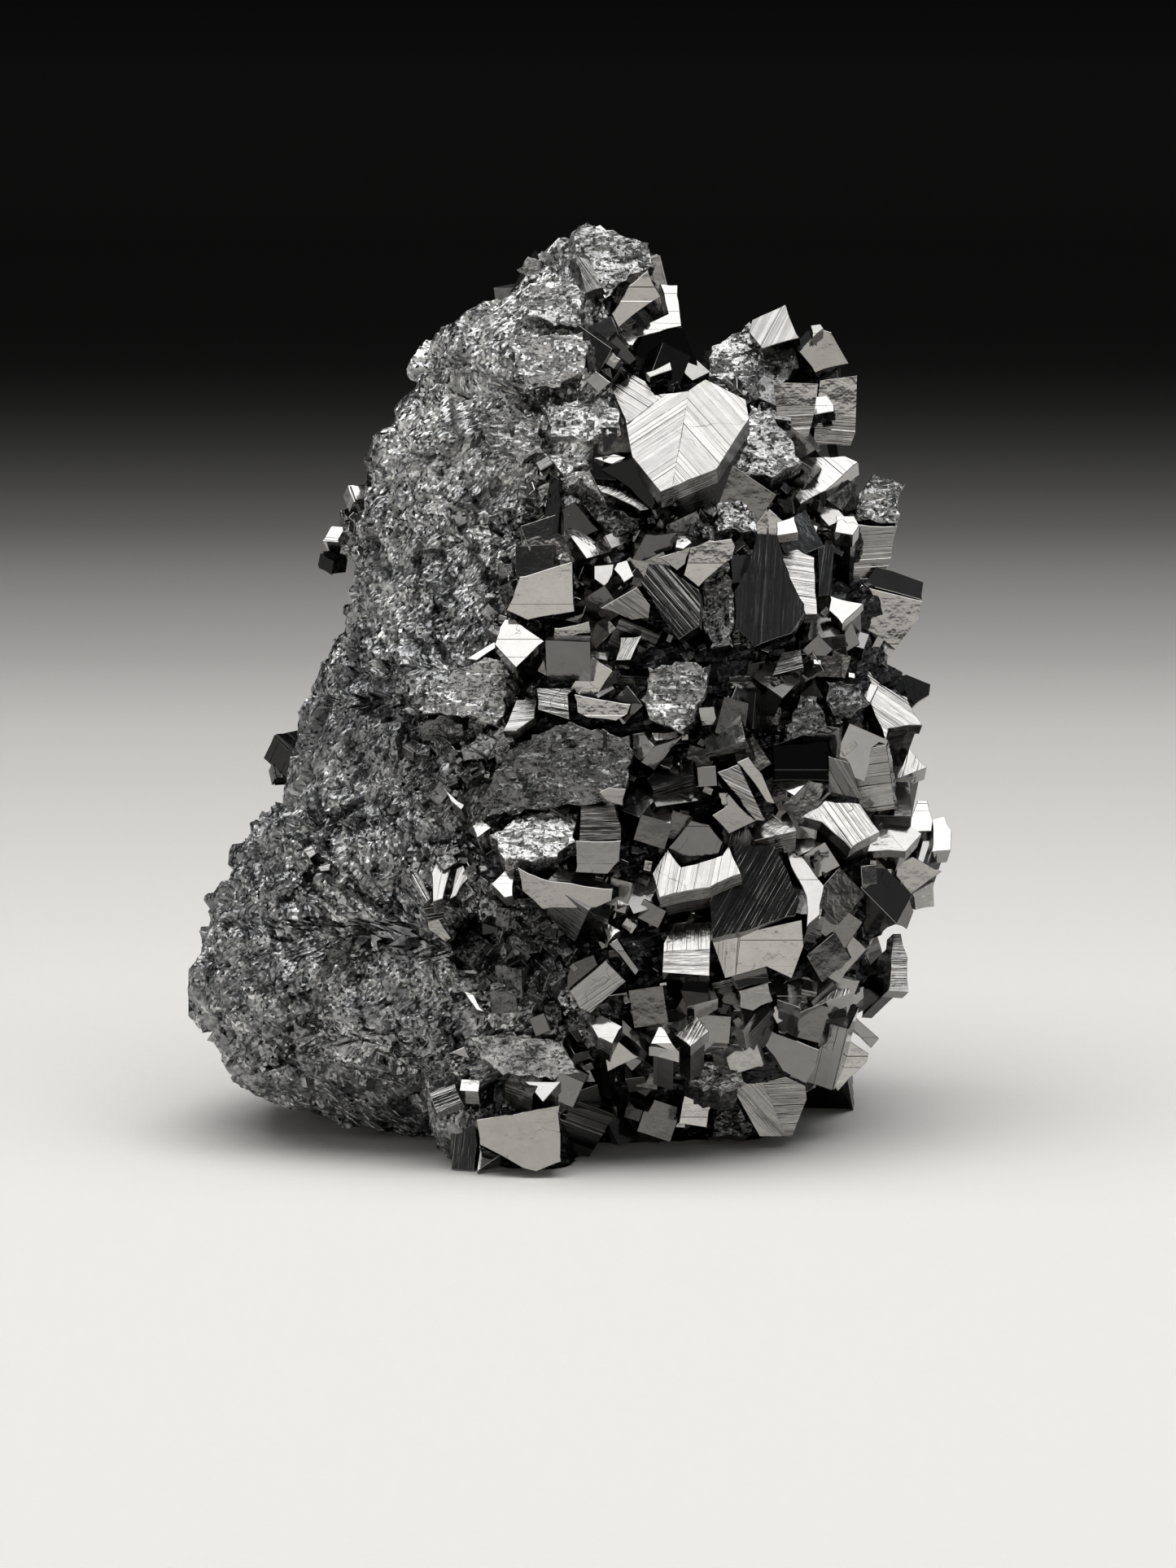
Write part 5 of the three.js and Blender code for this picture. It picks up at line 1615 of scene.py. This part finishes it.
@dataclass
class BrokenMass:
    """The granular mass: sections stacked up the show-face plane, their surface broken into grains."""

    rows: int = 265
    across: tuple[int, int, int] = (150, 36, 112)
    samples: int = 900
    lumps: Rubble = Rubble(size=3.4, rise=0.36, tilt=0.24, groove=0.2, salt=10)
    clods: Rubble = Rubble(size=1.6, rise=0.15, tilt=0.26, groove=0.1, salt=60)
    grains: Rubble = Rubble(size=0.8, rise=0.04, tilt=0.16, groove=0.03, salt=20)
    crumbs: Rubble = Rubble(size=0.42, rise=0.02, tilt=0.22, groove=0.02, salt=30)
    settle_in: float = 0.12
    margin: float = 2.4
    # Painted shade on the mass: the hollow depth at which it is full, and where it fades in past the crust
    # line.
    pit_shade_depth: float = 1.5
    crust_shade_fade: Point = (-0.5, 2.0)

    def ring(self, w: float) -> np.ndarray:
        """One section, evenly divided: granular front, crystal front, then round the back.

        Args:
            w: its height.

        Returns:
            Rows of x, w, t.
        """
        centre, half = FORM.section(w)
        turn = np.linspace(0, 2, self.samples)
        x = centre - half * np.cos(math.pi * turn)
        relief = (FORM.relief_at(x, w) - FORM.drop_at(x, w)) * FORM.blunt((x - centre) / half)
        relief = relief - self.hollow_at(x, w)
        faced = FORM.front_at(x, w) + relief
        t = np.where(turn <= 1, faced, -FORM.back_at(x, w))
        run = np.concatenate([[0], np.cumsum(np.hypot(np.diff(x), np.diff(t)))])
        ahead = turn <= 1
        edge = min(float(FORM.along(FORM.crust, w)) + self.margin, centre + half * 0.8)
        marks = [0, float(np.interp(edge, x[ahead], run[ahead])), float(run[ahead][-1]), float(run[-1])]
        spans = zip(marks, marks[1:], self.across)
        at = np.concatenate([np.linspace(start, end, count, endpoint=False) for start, end, count in spans])
        return np.stack([np.interp(at, run, x), np.full(len(at), w), np.interp(at, run, t)], -1)

    def hollow_at(self, x: np.ndarray, w: float | np.ndarray) -> np.ndarray:
        """How deep the hollows are.

        Args:
            x: places across.
            w: heights.

        Returns:
            The depth at each place.
        """
        deep = np.zeros_like(x)
        for hollow in HOLLOWS:
            deep += hollow.depth * (1 - ease(hollow.far(x, w), 0.5, 1.0))
        return deep

    def surface(self) -> np.ndarray:
        """The broken surface, a grid of x, w, t."""
        low, high = FORM.left[0][0], FORM.left[-1][0]
        grid = np.array([self.ring(w) for w in np.linspace(low, high, self.rows)])
        along = np.roll(grid, -1, 1) - np.roll(grid, 1, 1)
        up = np.gradient(grid, axis=0)
        out = np.cross(along, up)
        out /= np.maximum(np.linalg.norm(out, axis=-1, keepdims=True), 1e-9)
        flat = grid.reshape(-1, 3)
        move = sum(part.height(flat) for part in (self.lumps, self.clods, self.grains, self.crumbs))
        move -= self.settle_in
        return grid + out * move.reshape(self.rows, -1, 1)

    def make(self, finish: bpy.types.Material) -> bpy.types.Object:
        """Make the mass.

        Args:
            finish: its material.

        Returns:
            The new object.
        """
        grid = self.surface()
        rows, around = grid.shape[:2]
        caps = [grid[0].mean(0), grid[-1].mean(0)]
        points = np.concatenate([grid.reshape(-1, 3), caps])
        here = np.arange(rows - 1)[:, None] * around + np.arange(around)
        beside = np.arange(rows - 1)[:, None] * around + (np.arange(around) + 1) % around
        quads = np.stack([here, beside, beside + around, here + around], -1).reshape(-1, 4).tolist()
        last = (rows - 1) * around
        bottom, top = rows * around, rows * around + 1
        ends = [(bottom, (step + 1) % around, step) for step in range(around)]
        ends += [(top, last + step, last + (step + 1) % around) for step in range(around)]
        mesh = bpy.data.meshes.new("granular_mass")
        mesh.from_pydata(fitted(stand(points)), [], quads + ends)
        mesh.materials.append(finish)
        # The crust attribute is painted shade: the mass darkens past the crust line, under the crystals, and
        # in deep hollows, on its front side only.
        crust = points[:, 0] - FORM.along(FORM.crust, points[:, 1])
        pits = np.minimum(self.hollow_at(points[:, 0], points[:, 1]) / self.pit_shade_depth, 1)
        dark = np.where(points[:, 2] > 0, np.maximum(ease(crust, *self.crust_shade_fade), pits), 0.0)
        mesh.attributes.new("crust", "FLOAT", "POINT").data.foreach_set("value", dark)
        return put_up(mesh)


class Signal:
    """One shader socket that takes part in sums."""

    def __init__(self, board: "Board", socket: bpy.types.NodeSocket) -> None:
        """Hold the socket and the board its nodes go on."""
        self.board = board
        self.socket = socket

    def math(self, operation: str, first: object, second: object = None) -> "Signal":
        """Add a Math node.

        Args:
            operation: what it does.
            first: its first value.
            second: its second value, if it has one.

        Returns:
            The result.
        """
        values = {0: first} if second is None else {0: first, 1: second}
        return self.board.node("ShaderNodeMath", {"operation": operation}, values)[0]

    def __add__(self, other: object) -> "Signal":
        """The sum."""
        return self.math("ADD", self, other)

    def __sub__(self, other: object) -> "Signal":
        """The difference."""
        return self.math("SUBTRACT", self, other)

    def __rsub__(self, other: object) -> "Signal":
        """The difference, the other way round."""
        return self.math("SUBTRACT", other, self)

    def __mul__(self, other: object) -> "Signal":
        """The product."""
        return self.math("MULTIPLY", self, other)

    def __pow__(self, other: object) -> "Signal":
        """The power."""
        return self.math("POWER", self, other)

    __radd__ = __add__
    __rmul__ = __mul__


class Board:
    """The nodes of one material."""

    def __init__(self, name: str) -> None:
        """Start a material with only its shader and output.

        Args:
            name: the material's name.
        """
        self.material = bpy.data.materials.new(name)
        self.material.use_nodes = True
        self.tree = self.material.node_tree
        self.shader = self.tree.nodes["Principled BSDF"]

    def node(self, kind: str, settings: dict, values: dict) -> list[Signal]:
        """Add a node.

        Args:
            kind: its type.
            settings: its settings, set first; a ramp's stops are place and colour pairs.
            values: numbers or signals for its sockets, by name or number.

        Returns:
            A signal for each of its outputs that is in use.
        """
        node = self.tree.nodes.new(kind)
        for name, value in settings.items():
            if name == "stops":
                self.set_stops(node.color_ramp, value)
            else:
                setattr(node, name, value)
        for name, value in values.items():
            self.feed(node.inputs[name], value)
        return [Signal(self, socket) for socket in node.outputs if socket.enabled]

    def set_stops(self, ramp: bpy.types.ColorRamp, stops: tuple) -> None:
        """Give a ramp its stops.

        Args:
            ramp: the ramp.
            stops: place and colour of each.
        """
        while len(ramp.elements) < len(stops):
            ramp.elements.new(1.0)
        for element, (place, colour) in zip(ramp.elements, stops):
            element.position = place
            element.color = (*colour, 1.0)

    def feed(self, socket: bpy.types.NodeSocket, value: object) -> None:
        """Set a socket to a number, or link a signal to it.

        Args:
            socket: the socket.
            value: the number or signal.
        """
        if isinstance(value, Signal):
            self.tree.links.new(value.socket, socket)
        else:
            socket.default_value = value

    def places(self) -> Signal:
        """Where a point lies on the object, in metres."""
        return self.node("ShaderNodeTexCoord", {}, {})[3]

    def noise(self, vector: Signal, scale: float, detail: float = 2.0, rough: float = 0.5,
              twist: float = 0.0) -> Signal:
        """A soft random field from 0 to 1."""
        values = {"Vector": vector, "Scale": scale, "Detail": detail, "Roughness": rough, "Distortion": twist}
        return self.node("ShaderNodeTexNoise", {}, values)[0]

    def stretched(self, vector: Signal, sizes: Triple) -> Signal:
        """The vector with each part multiplied."""
        return self.node("ShaderNodeMapping", {}, {"Vector": vector, "Scale": sizes})[0]

    def blend(self, share: object, first: object, second: object) -> Signal:
        """Mix two colours by a share."""
        values = {0: share, 6: first, 7: second}
        return self.node("ShaderNodeMix", {"data_type": "RGBA"}, values)[0]

    def ramp(self, share: Signal, stops: tuple) -> Signal:
        """Turn a value to a colour."""
        return self.node("ShaderNodeValToRGB", {"stops": stops}, {0: share})[0]

    def attribute(self, name: str) -> Signal:
        """A number stored on the mesh."""
        return self.node("ShaderNodeAttribute", {"attribute_name": name}, {})[2]

    def bump(self, height: Signal, depth: float, under: Signal | None = None) -> Signal:
        """A normal bent by a height.

        Args:
            height: the height, from 0 to 1.
            depth: how deep 1 is, in metres.
            under: the normal it is laid over, if any.

        Returns:
            The bent normal.
        """
        values = {"Strength": 1.0, "Distance": depth, "Height": height}
        if under is not None:
            values["Normal"] = under
        return self.node("ShaderNodeBump", {}, values)[0]

    def ranged(self, signal: Signal, low: float, high: float, start: float = 0.0, end: float = 1.0) -> Signal:
        """The signal from low to high drawn out from start to end."""
        return self.node("ShaderNodeMapRange", {}, {0: signal, 1: low, 2: high, 3: start, 4: end})[0]

    def vector(self, operation: str, *values: object) -> Signal:
        """The result of a Vector Math node."""
        return self.node("ShaderNodeVectorMath", {"operation": operation}, dict(enumerate(values)))[0]

    def part(self, vector: Signal, axis: int) -> Signal:
        """One part of a vector."""
        return self.node("ShaderNodeSeparateXYZ", {}, {0: vector})[axis]

    def cells(self, size: float) -> Signal:
        """A random colour for each cell of a size in millimetres."""
        values = {"Vector": self.places(), "Scale": 1 / (size * MM)}
        return self.node("ShaderNodeTexVoronoi", {}, values)[1]

    def cell(self, size: float) -> Signal:
        """A random number from 0 to 1 for each cell of a size in millimetres."""
        return self.node("ShaderNodeSeparateColor", {}, {0: self.cells(size)})[0]

    def facets(self, size: float, tilt: float | Signal, under: Signal | None = None) -> Signal:
        """A normal tilted at random over small cells, as on broken grains.

        Args:
            size: the size of a cell in millimetres.
            tilt: how far the normal may lean.
            under: the normal it is laid over, if any.

        Returns:
            The tilted normal.
        """
        base = under if under is not None else self.node("ShaderNodeNewGeometry", {}, {})[1]
        amount = tilt if isinstance(tilt, Signal) else (tilt,) * 3
        lean = self.vector("MULTIPLY", self.vector("SUBTRACT", self.cells(size), (0.5,) * 3), amount)
        return self.vector("NORMALIZE", self.vector("ADD", base, lean))

    def dress(self, values: dict) -> bpy.types.Material:
        """Feed the shader's sockets.

        Args:
            values: numbers or signals by socket name.

        Returns:
            The finished material.
        """
        for name, value in values.items():
            self.feed(self.shader.inputs[name], value)
        return self.material


@dataclass(frozen=True)
class MirrorFinish:
    """Black, mirror-bright crystal, with growth lines as fine as they are in the ribs given.

    Scales are cells to the metre, or to the millimetre along and across the growth lines; depths and
    lengths are millimetres.
    """

    name: str
    dark: Triple = (0.014, 0.0142, 0.0146)
    light: Triple = (0.43, 0.424, 0.412)
    roughness: float = 0.08
    scuff_roughness: float = 0.25
    scuff_scale: Triple = (2.2, 5.0, 1.0)
    line_depth: float = 0.002
    line_scale: Triple = (0.16, 7.0, 1.0)
    wave_depth: float = 0.04
    wave_scale: float = 800.0
    sway_depth: float = 0.13
    sway_scale: float = 210.0
    stain_scale: float = 1100.0
    stain_share: float = 0.4
    clean_share: float = 0.76
    crack_gap: float = 3.2
    crack_sway: float = 1.1
    crack_sway_scale: float = 900.0
    crack_width: float = 0.007
    crack_shade: float = 0.75
    crack_patch_scale: float = 300.0
    crack_patch: Point = (0.54, 0.6)

    def cracks(self, board: Board, places: Signal) -> Signal:
        """Where the cracks are: 1 in a crack, 0 beside it and where there are none.

        Args:
            board: the board of the material.
            places: where a point lies.

        Returns:
            The cracks.
        """
        drift = board.node("ShaderNodeTexNoise", {}, {"Vector": places, "Scale": self.crack_sway_scale})[1]
        warped = board.vector("MULTIPLY_ADD", drift, (self.crack_sway * MM,) * 3, places)
        seam = board.node("ShaderNodeTexVoronoi", {"feature": "DISTANCE_TO_EDGE"}, {
            "Vector": warped, "Scale": 1 / (self.crack_gap * MM)})[0]
        start, end = self.crack_patch
        inside = board.ramp(seam, ((0.0, WHITE), (self.crack_width, BLACK)))
        patches = board.noise(places, self.crack_patch_scale)
        return inside * board.ramp(patches, ((start, BLACK), (end, WHITE)))

    def make(self) -> bpy.types.Material:
        """Make the material."""
        board = Board(self.name)
        growth = board.node("ShaderNodeUVMap", {"uv_map": "growth"}, {})[0]
        places = board.places()
        bent = board.bump(board.noise(places, self.sway_scale, 1.0, 0.4), self.sway_depth * MM)
        bent = board.bump(board.noise(places, self.wave_scale, 3.0, 0.55), self.wave_depth * MM, bent)
        lines = board.noise(board.stretched(growth, self.line_scale), 1.0, 3.0, 0.65)
        bent = board.bump(lines, self.line_depth * MM, bent)
        stain = board.noise(places, self.stain_scale, 5.0, 0.75) * self.stain_share + self.clean_share
        share = board.attribute("tone") * stain * (1 - self.cracks(board, places) * self.crack_shade)
        base = board.blend(share, (*self.dark, 1), (*self.light, 1))
        scuffs = board.noise(board.stretched(growth, self.scuff_scale), 1.0, 5.0, 0.7)
        rough = (scuffs ** 3) * self.scuff_roughness + self.roughness
        return board.dress({"Base Color": base, "Metallic": 1.0, "Roughness": rough, "Normal": bent})


@dataclass(frozen=True)
class BrokenFinish:
    """Crystal that broke unevenly: duller, with small glinting steps.

    Scales are cells to the metre; sizes and depths are millimetres. The shares say how much the patches,
    the flakes and the face's tone each lighten the colour.
    """

    name: str = "broken_crystal"
    dark: Triple = (0.04, 0.04, 0.04)
    grey: Triple = (0.24, 0.24, 0.238)
    light: Triple = (0.85, 0.85, 0.84)
    roughness: float = 0.16
    flake_roughness: float = 0.24
    patch_scale: float = 650.0
    patch_range: Point = (0.34, 0.66)
    wrinkle_scale: float = 2300.0
    wrinkle_depth: float = 0.06
    flake: float = 0.15
    scale: float = 0.7
    tilt: float = 0.42
    shares: Triple = (0.32, 0.16, 0.6)
    level: float = -0.13

    def make(self) -> bpy.types.Material:
        """Make the material."""
        board = Board(self.name)
        places = board.places()
        patches = board.ranged(board.noise(places, self.patch_scale, 5.0, 0.7), *self.patch_range)
        wrinkles = board.noise(places, self.wrinkle_scale, 4.0, 0.6, 0.7)
        flakes = board.cell(self.flake)
        by_patch, by_flake, by_tone = self.shares
        share = patches * by_patch + flakes * by_flake + board.attribute("tone") * by_tone + self.level
        base = board.ramp(share, ((0.0, self.dark), (0.5, self.grey), (1.0, self.light)))
        bent = board.bump(wrinkles, self.wrinkle_depth * MM)
        bent = board.facets(self.flake, self.tilt, board.facets(self.scale, self.tilt * 0.5, bent))
        rough = flakes * self.flake_roughness + self.roughness
        return board.dress({"Base Color": base, "Metallic": 1.0, "Roughness": rough, "Normal": bent})


@dataclass(frozen=True)
class GranularFinish:
    """The granular mass: dark grains, each glinting its own way.

    Scales are cells to the metre; sizes and heights are millimetres. The shares say how much the fine
    grains, the coarse ones, the patches and the height each lighten the colour; the lightening with
    height is painted light, brighter towards the top, and the crust attribute blends in painted shade.
    """

    name: str = "granular_bixbyite"
    # The darkest grains, and also the colour of the painted shade that the crust attribute blends in.
    pit: Triple = (0.035, 0.035, 0.037)
    dark: Triple = (0.17, 0.172, 0.178)
    grey: Triple = (0.42, 0.422, 0.42)
    light: Triple = (0.95, 0.95, 0.93)
    stops: tuple[float, ...] = (0.12, 0.42, 0.66, 0.86)
    roughness: float = 0.35
    grain_roughness: float = 0.3
    grain: float = 0.19
    coarse: float = 0.6
    lump: float = 1.5
    tilt: float = 0.75
    coarse_tilt: float = 0.3
    patch_scale: float = 330.0
    patch_range: Point = (0.34, 0.66)
    calm_range: tuple[float, ...] = (0.55, 0.8, 1.0, 0.35)
    # Heights, in millimetres, over which painted light lightens the colour towards the top.
    rise: Point = (30.0, 50.0)
    shares: tuple[float, ...] = (0.5, 0.16, 0.24, 0.17)
    level: float = 0.32

    def make(self) -> bpy.types.Material:
        """Make the material."""
        board = Board(self.name)
        places = board.places()
        patches = board.ranged(board.noise(places, self.patch_scale, 4.0, 0.65), *self.patch_range)
        # Painted light: the colour lightens with height towards the top.
        rise = board.ranged(board.part(places, 2), *(height * MM for height in self.rise))
        calm = board.ranged(board.cell(self.lump), *self.calm_range)
        fine = board.cell(self.grain) - 0.5
        by_grain, by_coarse, by_patch, by_painted_top_light = self.shares
        share = fine * by_grain * calm + board.cell(self.coarse) * by_coarse + patches * by_patch
        share = share + rise * by_painted_top_light + self.level
        mixed = board.ramp(share, tuple(zip(self.stops, (self.pit, self.dark, self.grey, self.light))))
        # Painted shade from the crust attribute, past the crust line and in hollows.
        mix_with_painted_shade = board.blend(board.attribute("crust"), mixed, (*self.pit, 1))
        bent = board.facets(self.grain, calm * self.tilt, board.facets(self.coarse, self.coarse_tilt))
        rough = fine * self.grain_roughness + self.roughness
        return board.dress({"Base Color": mix_with_painted_shade, "Metallic": 1.0, "Roughness": rough, "Normal": bent})


@dataclass(frozen=True)
class FloorFinish:
    """A pale matt floor that falls into shade behind the specimen.

    Args:
        name: the material's name.
        pale: its colour in front.
        reach: how far back the shade is laid out, in millimetres.
        shade: painted shade, the share of the colour left at each distance behind the specimen.
    """

    name: str = "pale_floor"
    pale: Triple = (0.92, 0.905, 0.875)
    reach: float = 1000.0
    # Painted shade: the floor's colour darkens behind the specimen, then lightens a little far back.
    shade: tuple[Point, ...] = (
        (0, 1.0), (45, 0.955), (75, 0.893), (107, 0.81), (146, 0.71), (168, 0.6), (191, 0.475), (217, 0.385),
        (245, 0.28), (275, 0.167), (308, 0.1), (345, 0.053), (386, 0.0235), (431, 0.0115), (482, 0.01),
        (604, 0.0125), (1000, 0.031))
    fibre_scale: float = 1500.0
    fibre_depth: float = 0.06

    def make(self) -> bpy.types.Material:
        """Make the material."""
        board = Board(self.name)
        places = board.places()
        away = board.node("ShaderNodeMath", {"operation": "MULTIPLY", "use_clamp": True}, {
            0: board.part(places, 1), 1: 1 / (self.reach * MM)})[0]
        stops = tuple((y / self.reach, tuple(part * share for part in self.pale)) for y, share in self.shade)
        bent = board.bump(board.noise(places, self.fibre_scale, 4.0, 0.6), self.fibre_depth * MM)
        values = {"Base Color": board.ramp(away, stops), "Roughness": 0.9, "Specular IOR Level": 0.0}
        return board.dress({**values, "Normal": bent})


@dataclass(frozen=True)
class Lamp:
    """One flat soft light.

    Args:
        name: what it is called.
        place: where it stands, in metres.
        aim: what it faces.
        size: its width and height in metres.
        glow: how bright its face is.
        colour: its tint.
    """

    name: str
    place: Triple
    aim: Triple
    size: Point
    glow: float
    colour: Triple = (1.0, 1.0, 1.0)

    def make(self) -> None:
        """Put the light up."""
        data = bpy.data.lights.new(self.name, "AREA")
        data.shape = "RECTANGLE"
        data.size, data.size_y = self.size
        data.energy = self.glow * math.pi * self.size[0] * self.size[1]
        data.color = self.colour
        lamp = bpy.data.objects.new(self.name, data)
        way = Vector(self.aim) - Vector(self.place)
        lamp.matrix_world = Matrix.Translation(self.place) @ way.to_track_quat("-Z", "Y").to_matrix().to_4x4()
        lamp.visible_camera = False
        bpy.context.scene.collection.objects.link(lamp)


@dataclass
class Studio:
    """The floor, the soft lights and the camera."""

    distance: float = 0.4
    sight: Triple = (1.125, 21.8, 0.0)
    sensor: float = 36.0
    field: float = 96.35
    lead: float = 5.0
    floor_size: float = 6.0
    dusk: Triple = (0.058, 0.059, 0.062)
    lamps: tuple[Lamp, ...] = (
        Lamp("top_softbox", (0.0, -0.06, 0.62), (0.0, -0.02, 0.0), (0.95, 0.56), 2.85),
        Lamp("front_card", (0.0, -1.3, 0.13), (0.0, 0.0, 0.13), (2.6, 0.3), 1.05, (1.0, 0.965, 0.905)),
        Lamp("right_strip", (0.9, -0.25, 0.45), (0.0, 0.0, 0.03), (0.25, 0.7), 0.6, (0.86, 0.93, 1.0)),
        Lamp("left_strip", (-0.9, -0.3, 0.45), (0.0, 0.0, 0.03), (0.3, 0.7), 0.6),
    )

    def make(self) -> None:
        """Build the studio round the specimen."""
        for lamp in self.lamps:
            lamp.make()
        world = bpy.data.worlds.new("studio_dusk")
        world.use_nodes = True
        world.node_tree.nodes["Background"].inputs["Color"].default_value = (*self.dusk, 1)
        bpy.context.scene.world = world
        bpy.context.scene.view_settings.view_transform = "Standard"
        self.make_floor()
        self.make_camera()

    def make_floor(self) -> None:
        """Lay the floor."""
        half = self.floor_size / 2
        mesh = bpy.data.meshes.new("floor")
        mesh.from_pydata([(-half, -half, 0), (half, -half, 0), (half, half, 0), (-half, half, 0)], [],
                         [(0, 1, 2, 3)])
        mesh.materials.append(FloorFinish().make())
        floor = put_up(mesh)

    def make_camera(self) -> None:
        """Set the camera at the photograph's angle."""
        data = bpy.data.cameras.new("camera")
        data.sensor_width = self.sensor
        data.lens = self.sensor * (self.distance - self.lead * MM) / (self.field * MM)
        data.clip_start = 0.01
        data.clip_end = 20
        camera = bpy.data.objects.new("camera", data)
        aim = Vector(stand(np.array(self.sight)) * MM)
        back = Vector(turned(np.array([0.0, 0.0, 1.0])))
        turn = (-back).to_track_quat("-Z", "Y").to_matrix().to_4x4()
        camera.matrix_world = Matrix.Translation(aim + back * self.distance) @ turn
        bpy.context.scene.collection.objects.link(camera)
        bpy.context.scene.camera = camera


def place(piece: bpy.types.Object) -> None:
    """Tie a piece to the solid, and log how many triangles it has.

    Args:
        piece: the piece.
    """
    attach(piece, "root")
    triangles_in = sum(len(face.vertices) - 2 for face in piece.data.polygons)
    logging.info("%s: %d triangles", piece.name, triangles_in)


def main() -> None:
    """Build the specimen and the studio."""
    logging.basicConfig(level=logging.INFO, format="%(message)s")
    finishes = {
        Cut.SMOOTH: MirrorFinish("mirror_crystal").make(),
        Cut.RIBBED: MirrorFinish("ribbed_crystal", roughness=0.12, line_depth=0.035).make(),
        Cut.BROKEN: BrokenFinish().make(),
    }
    mass = BrokenMass().make(GranularFinish().make())
    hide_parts(NODE)
    place(mass)
    show = Stock()
    ShowCrystals().build(show)
    FillCrystals().build(show)
    place(show.make("show_crystals", finishes))
    back = Stock()
    BackCrystals().build(back)
    LooseCrystals().build(back)
    place(back.make("back_crystals", finishes))
    druse = Stock()
    Druse().build(druse)
    place(druse.make("small_crystals", finishes))
    Studio().make()


if __name__ == "__main__":
    main()
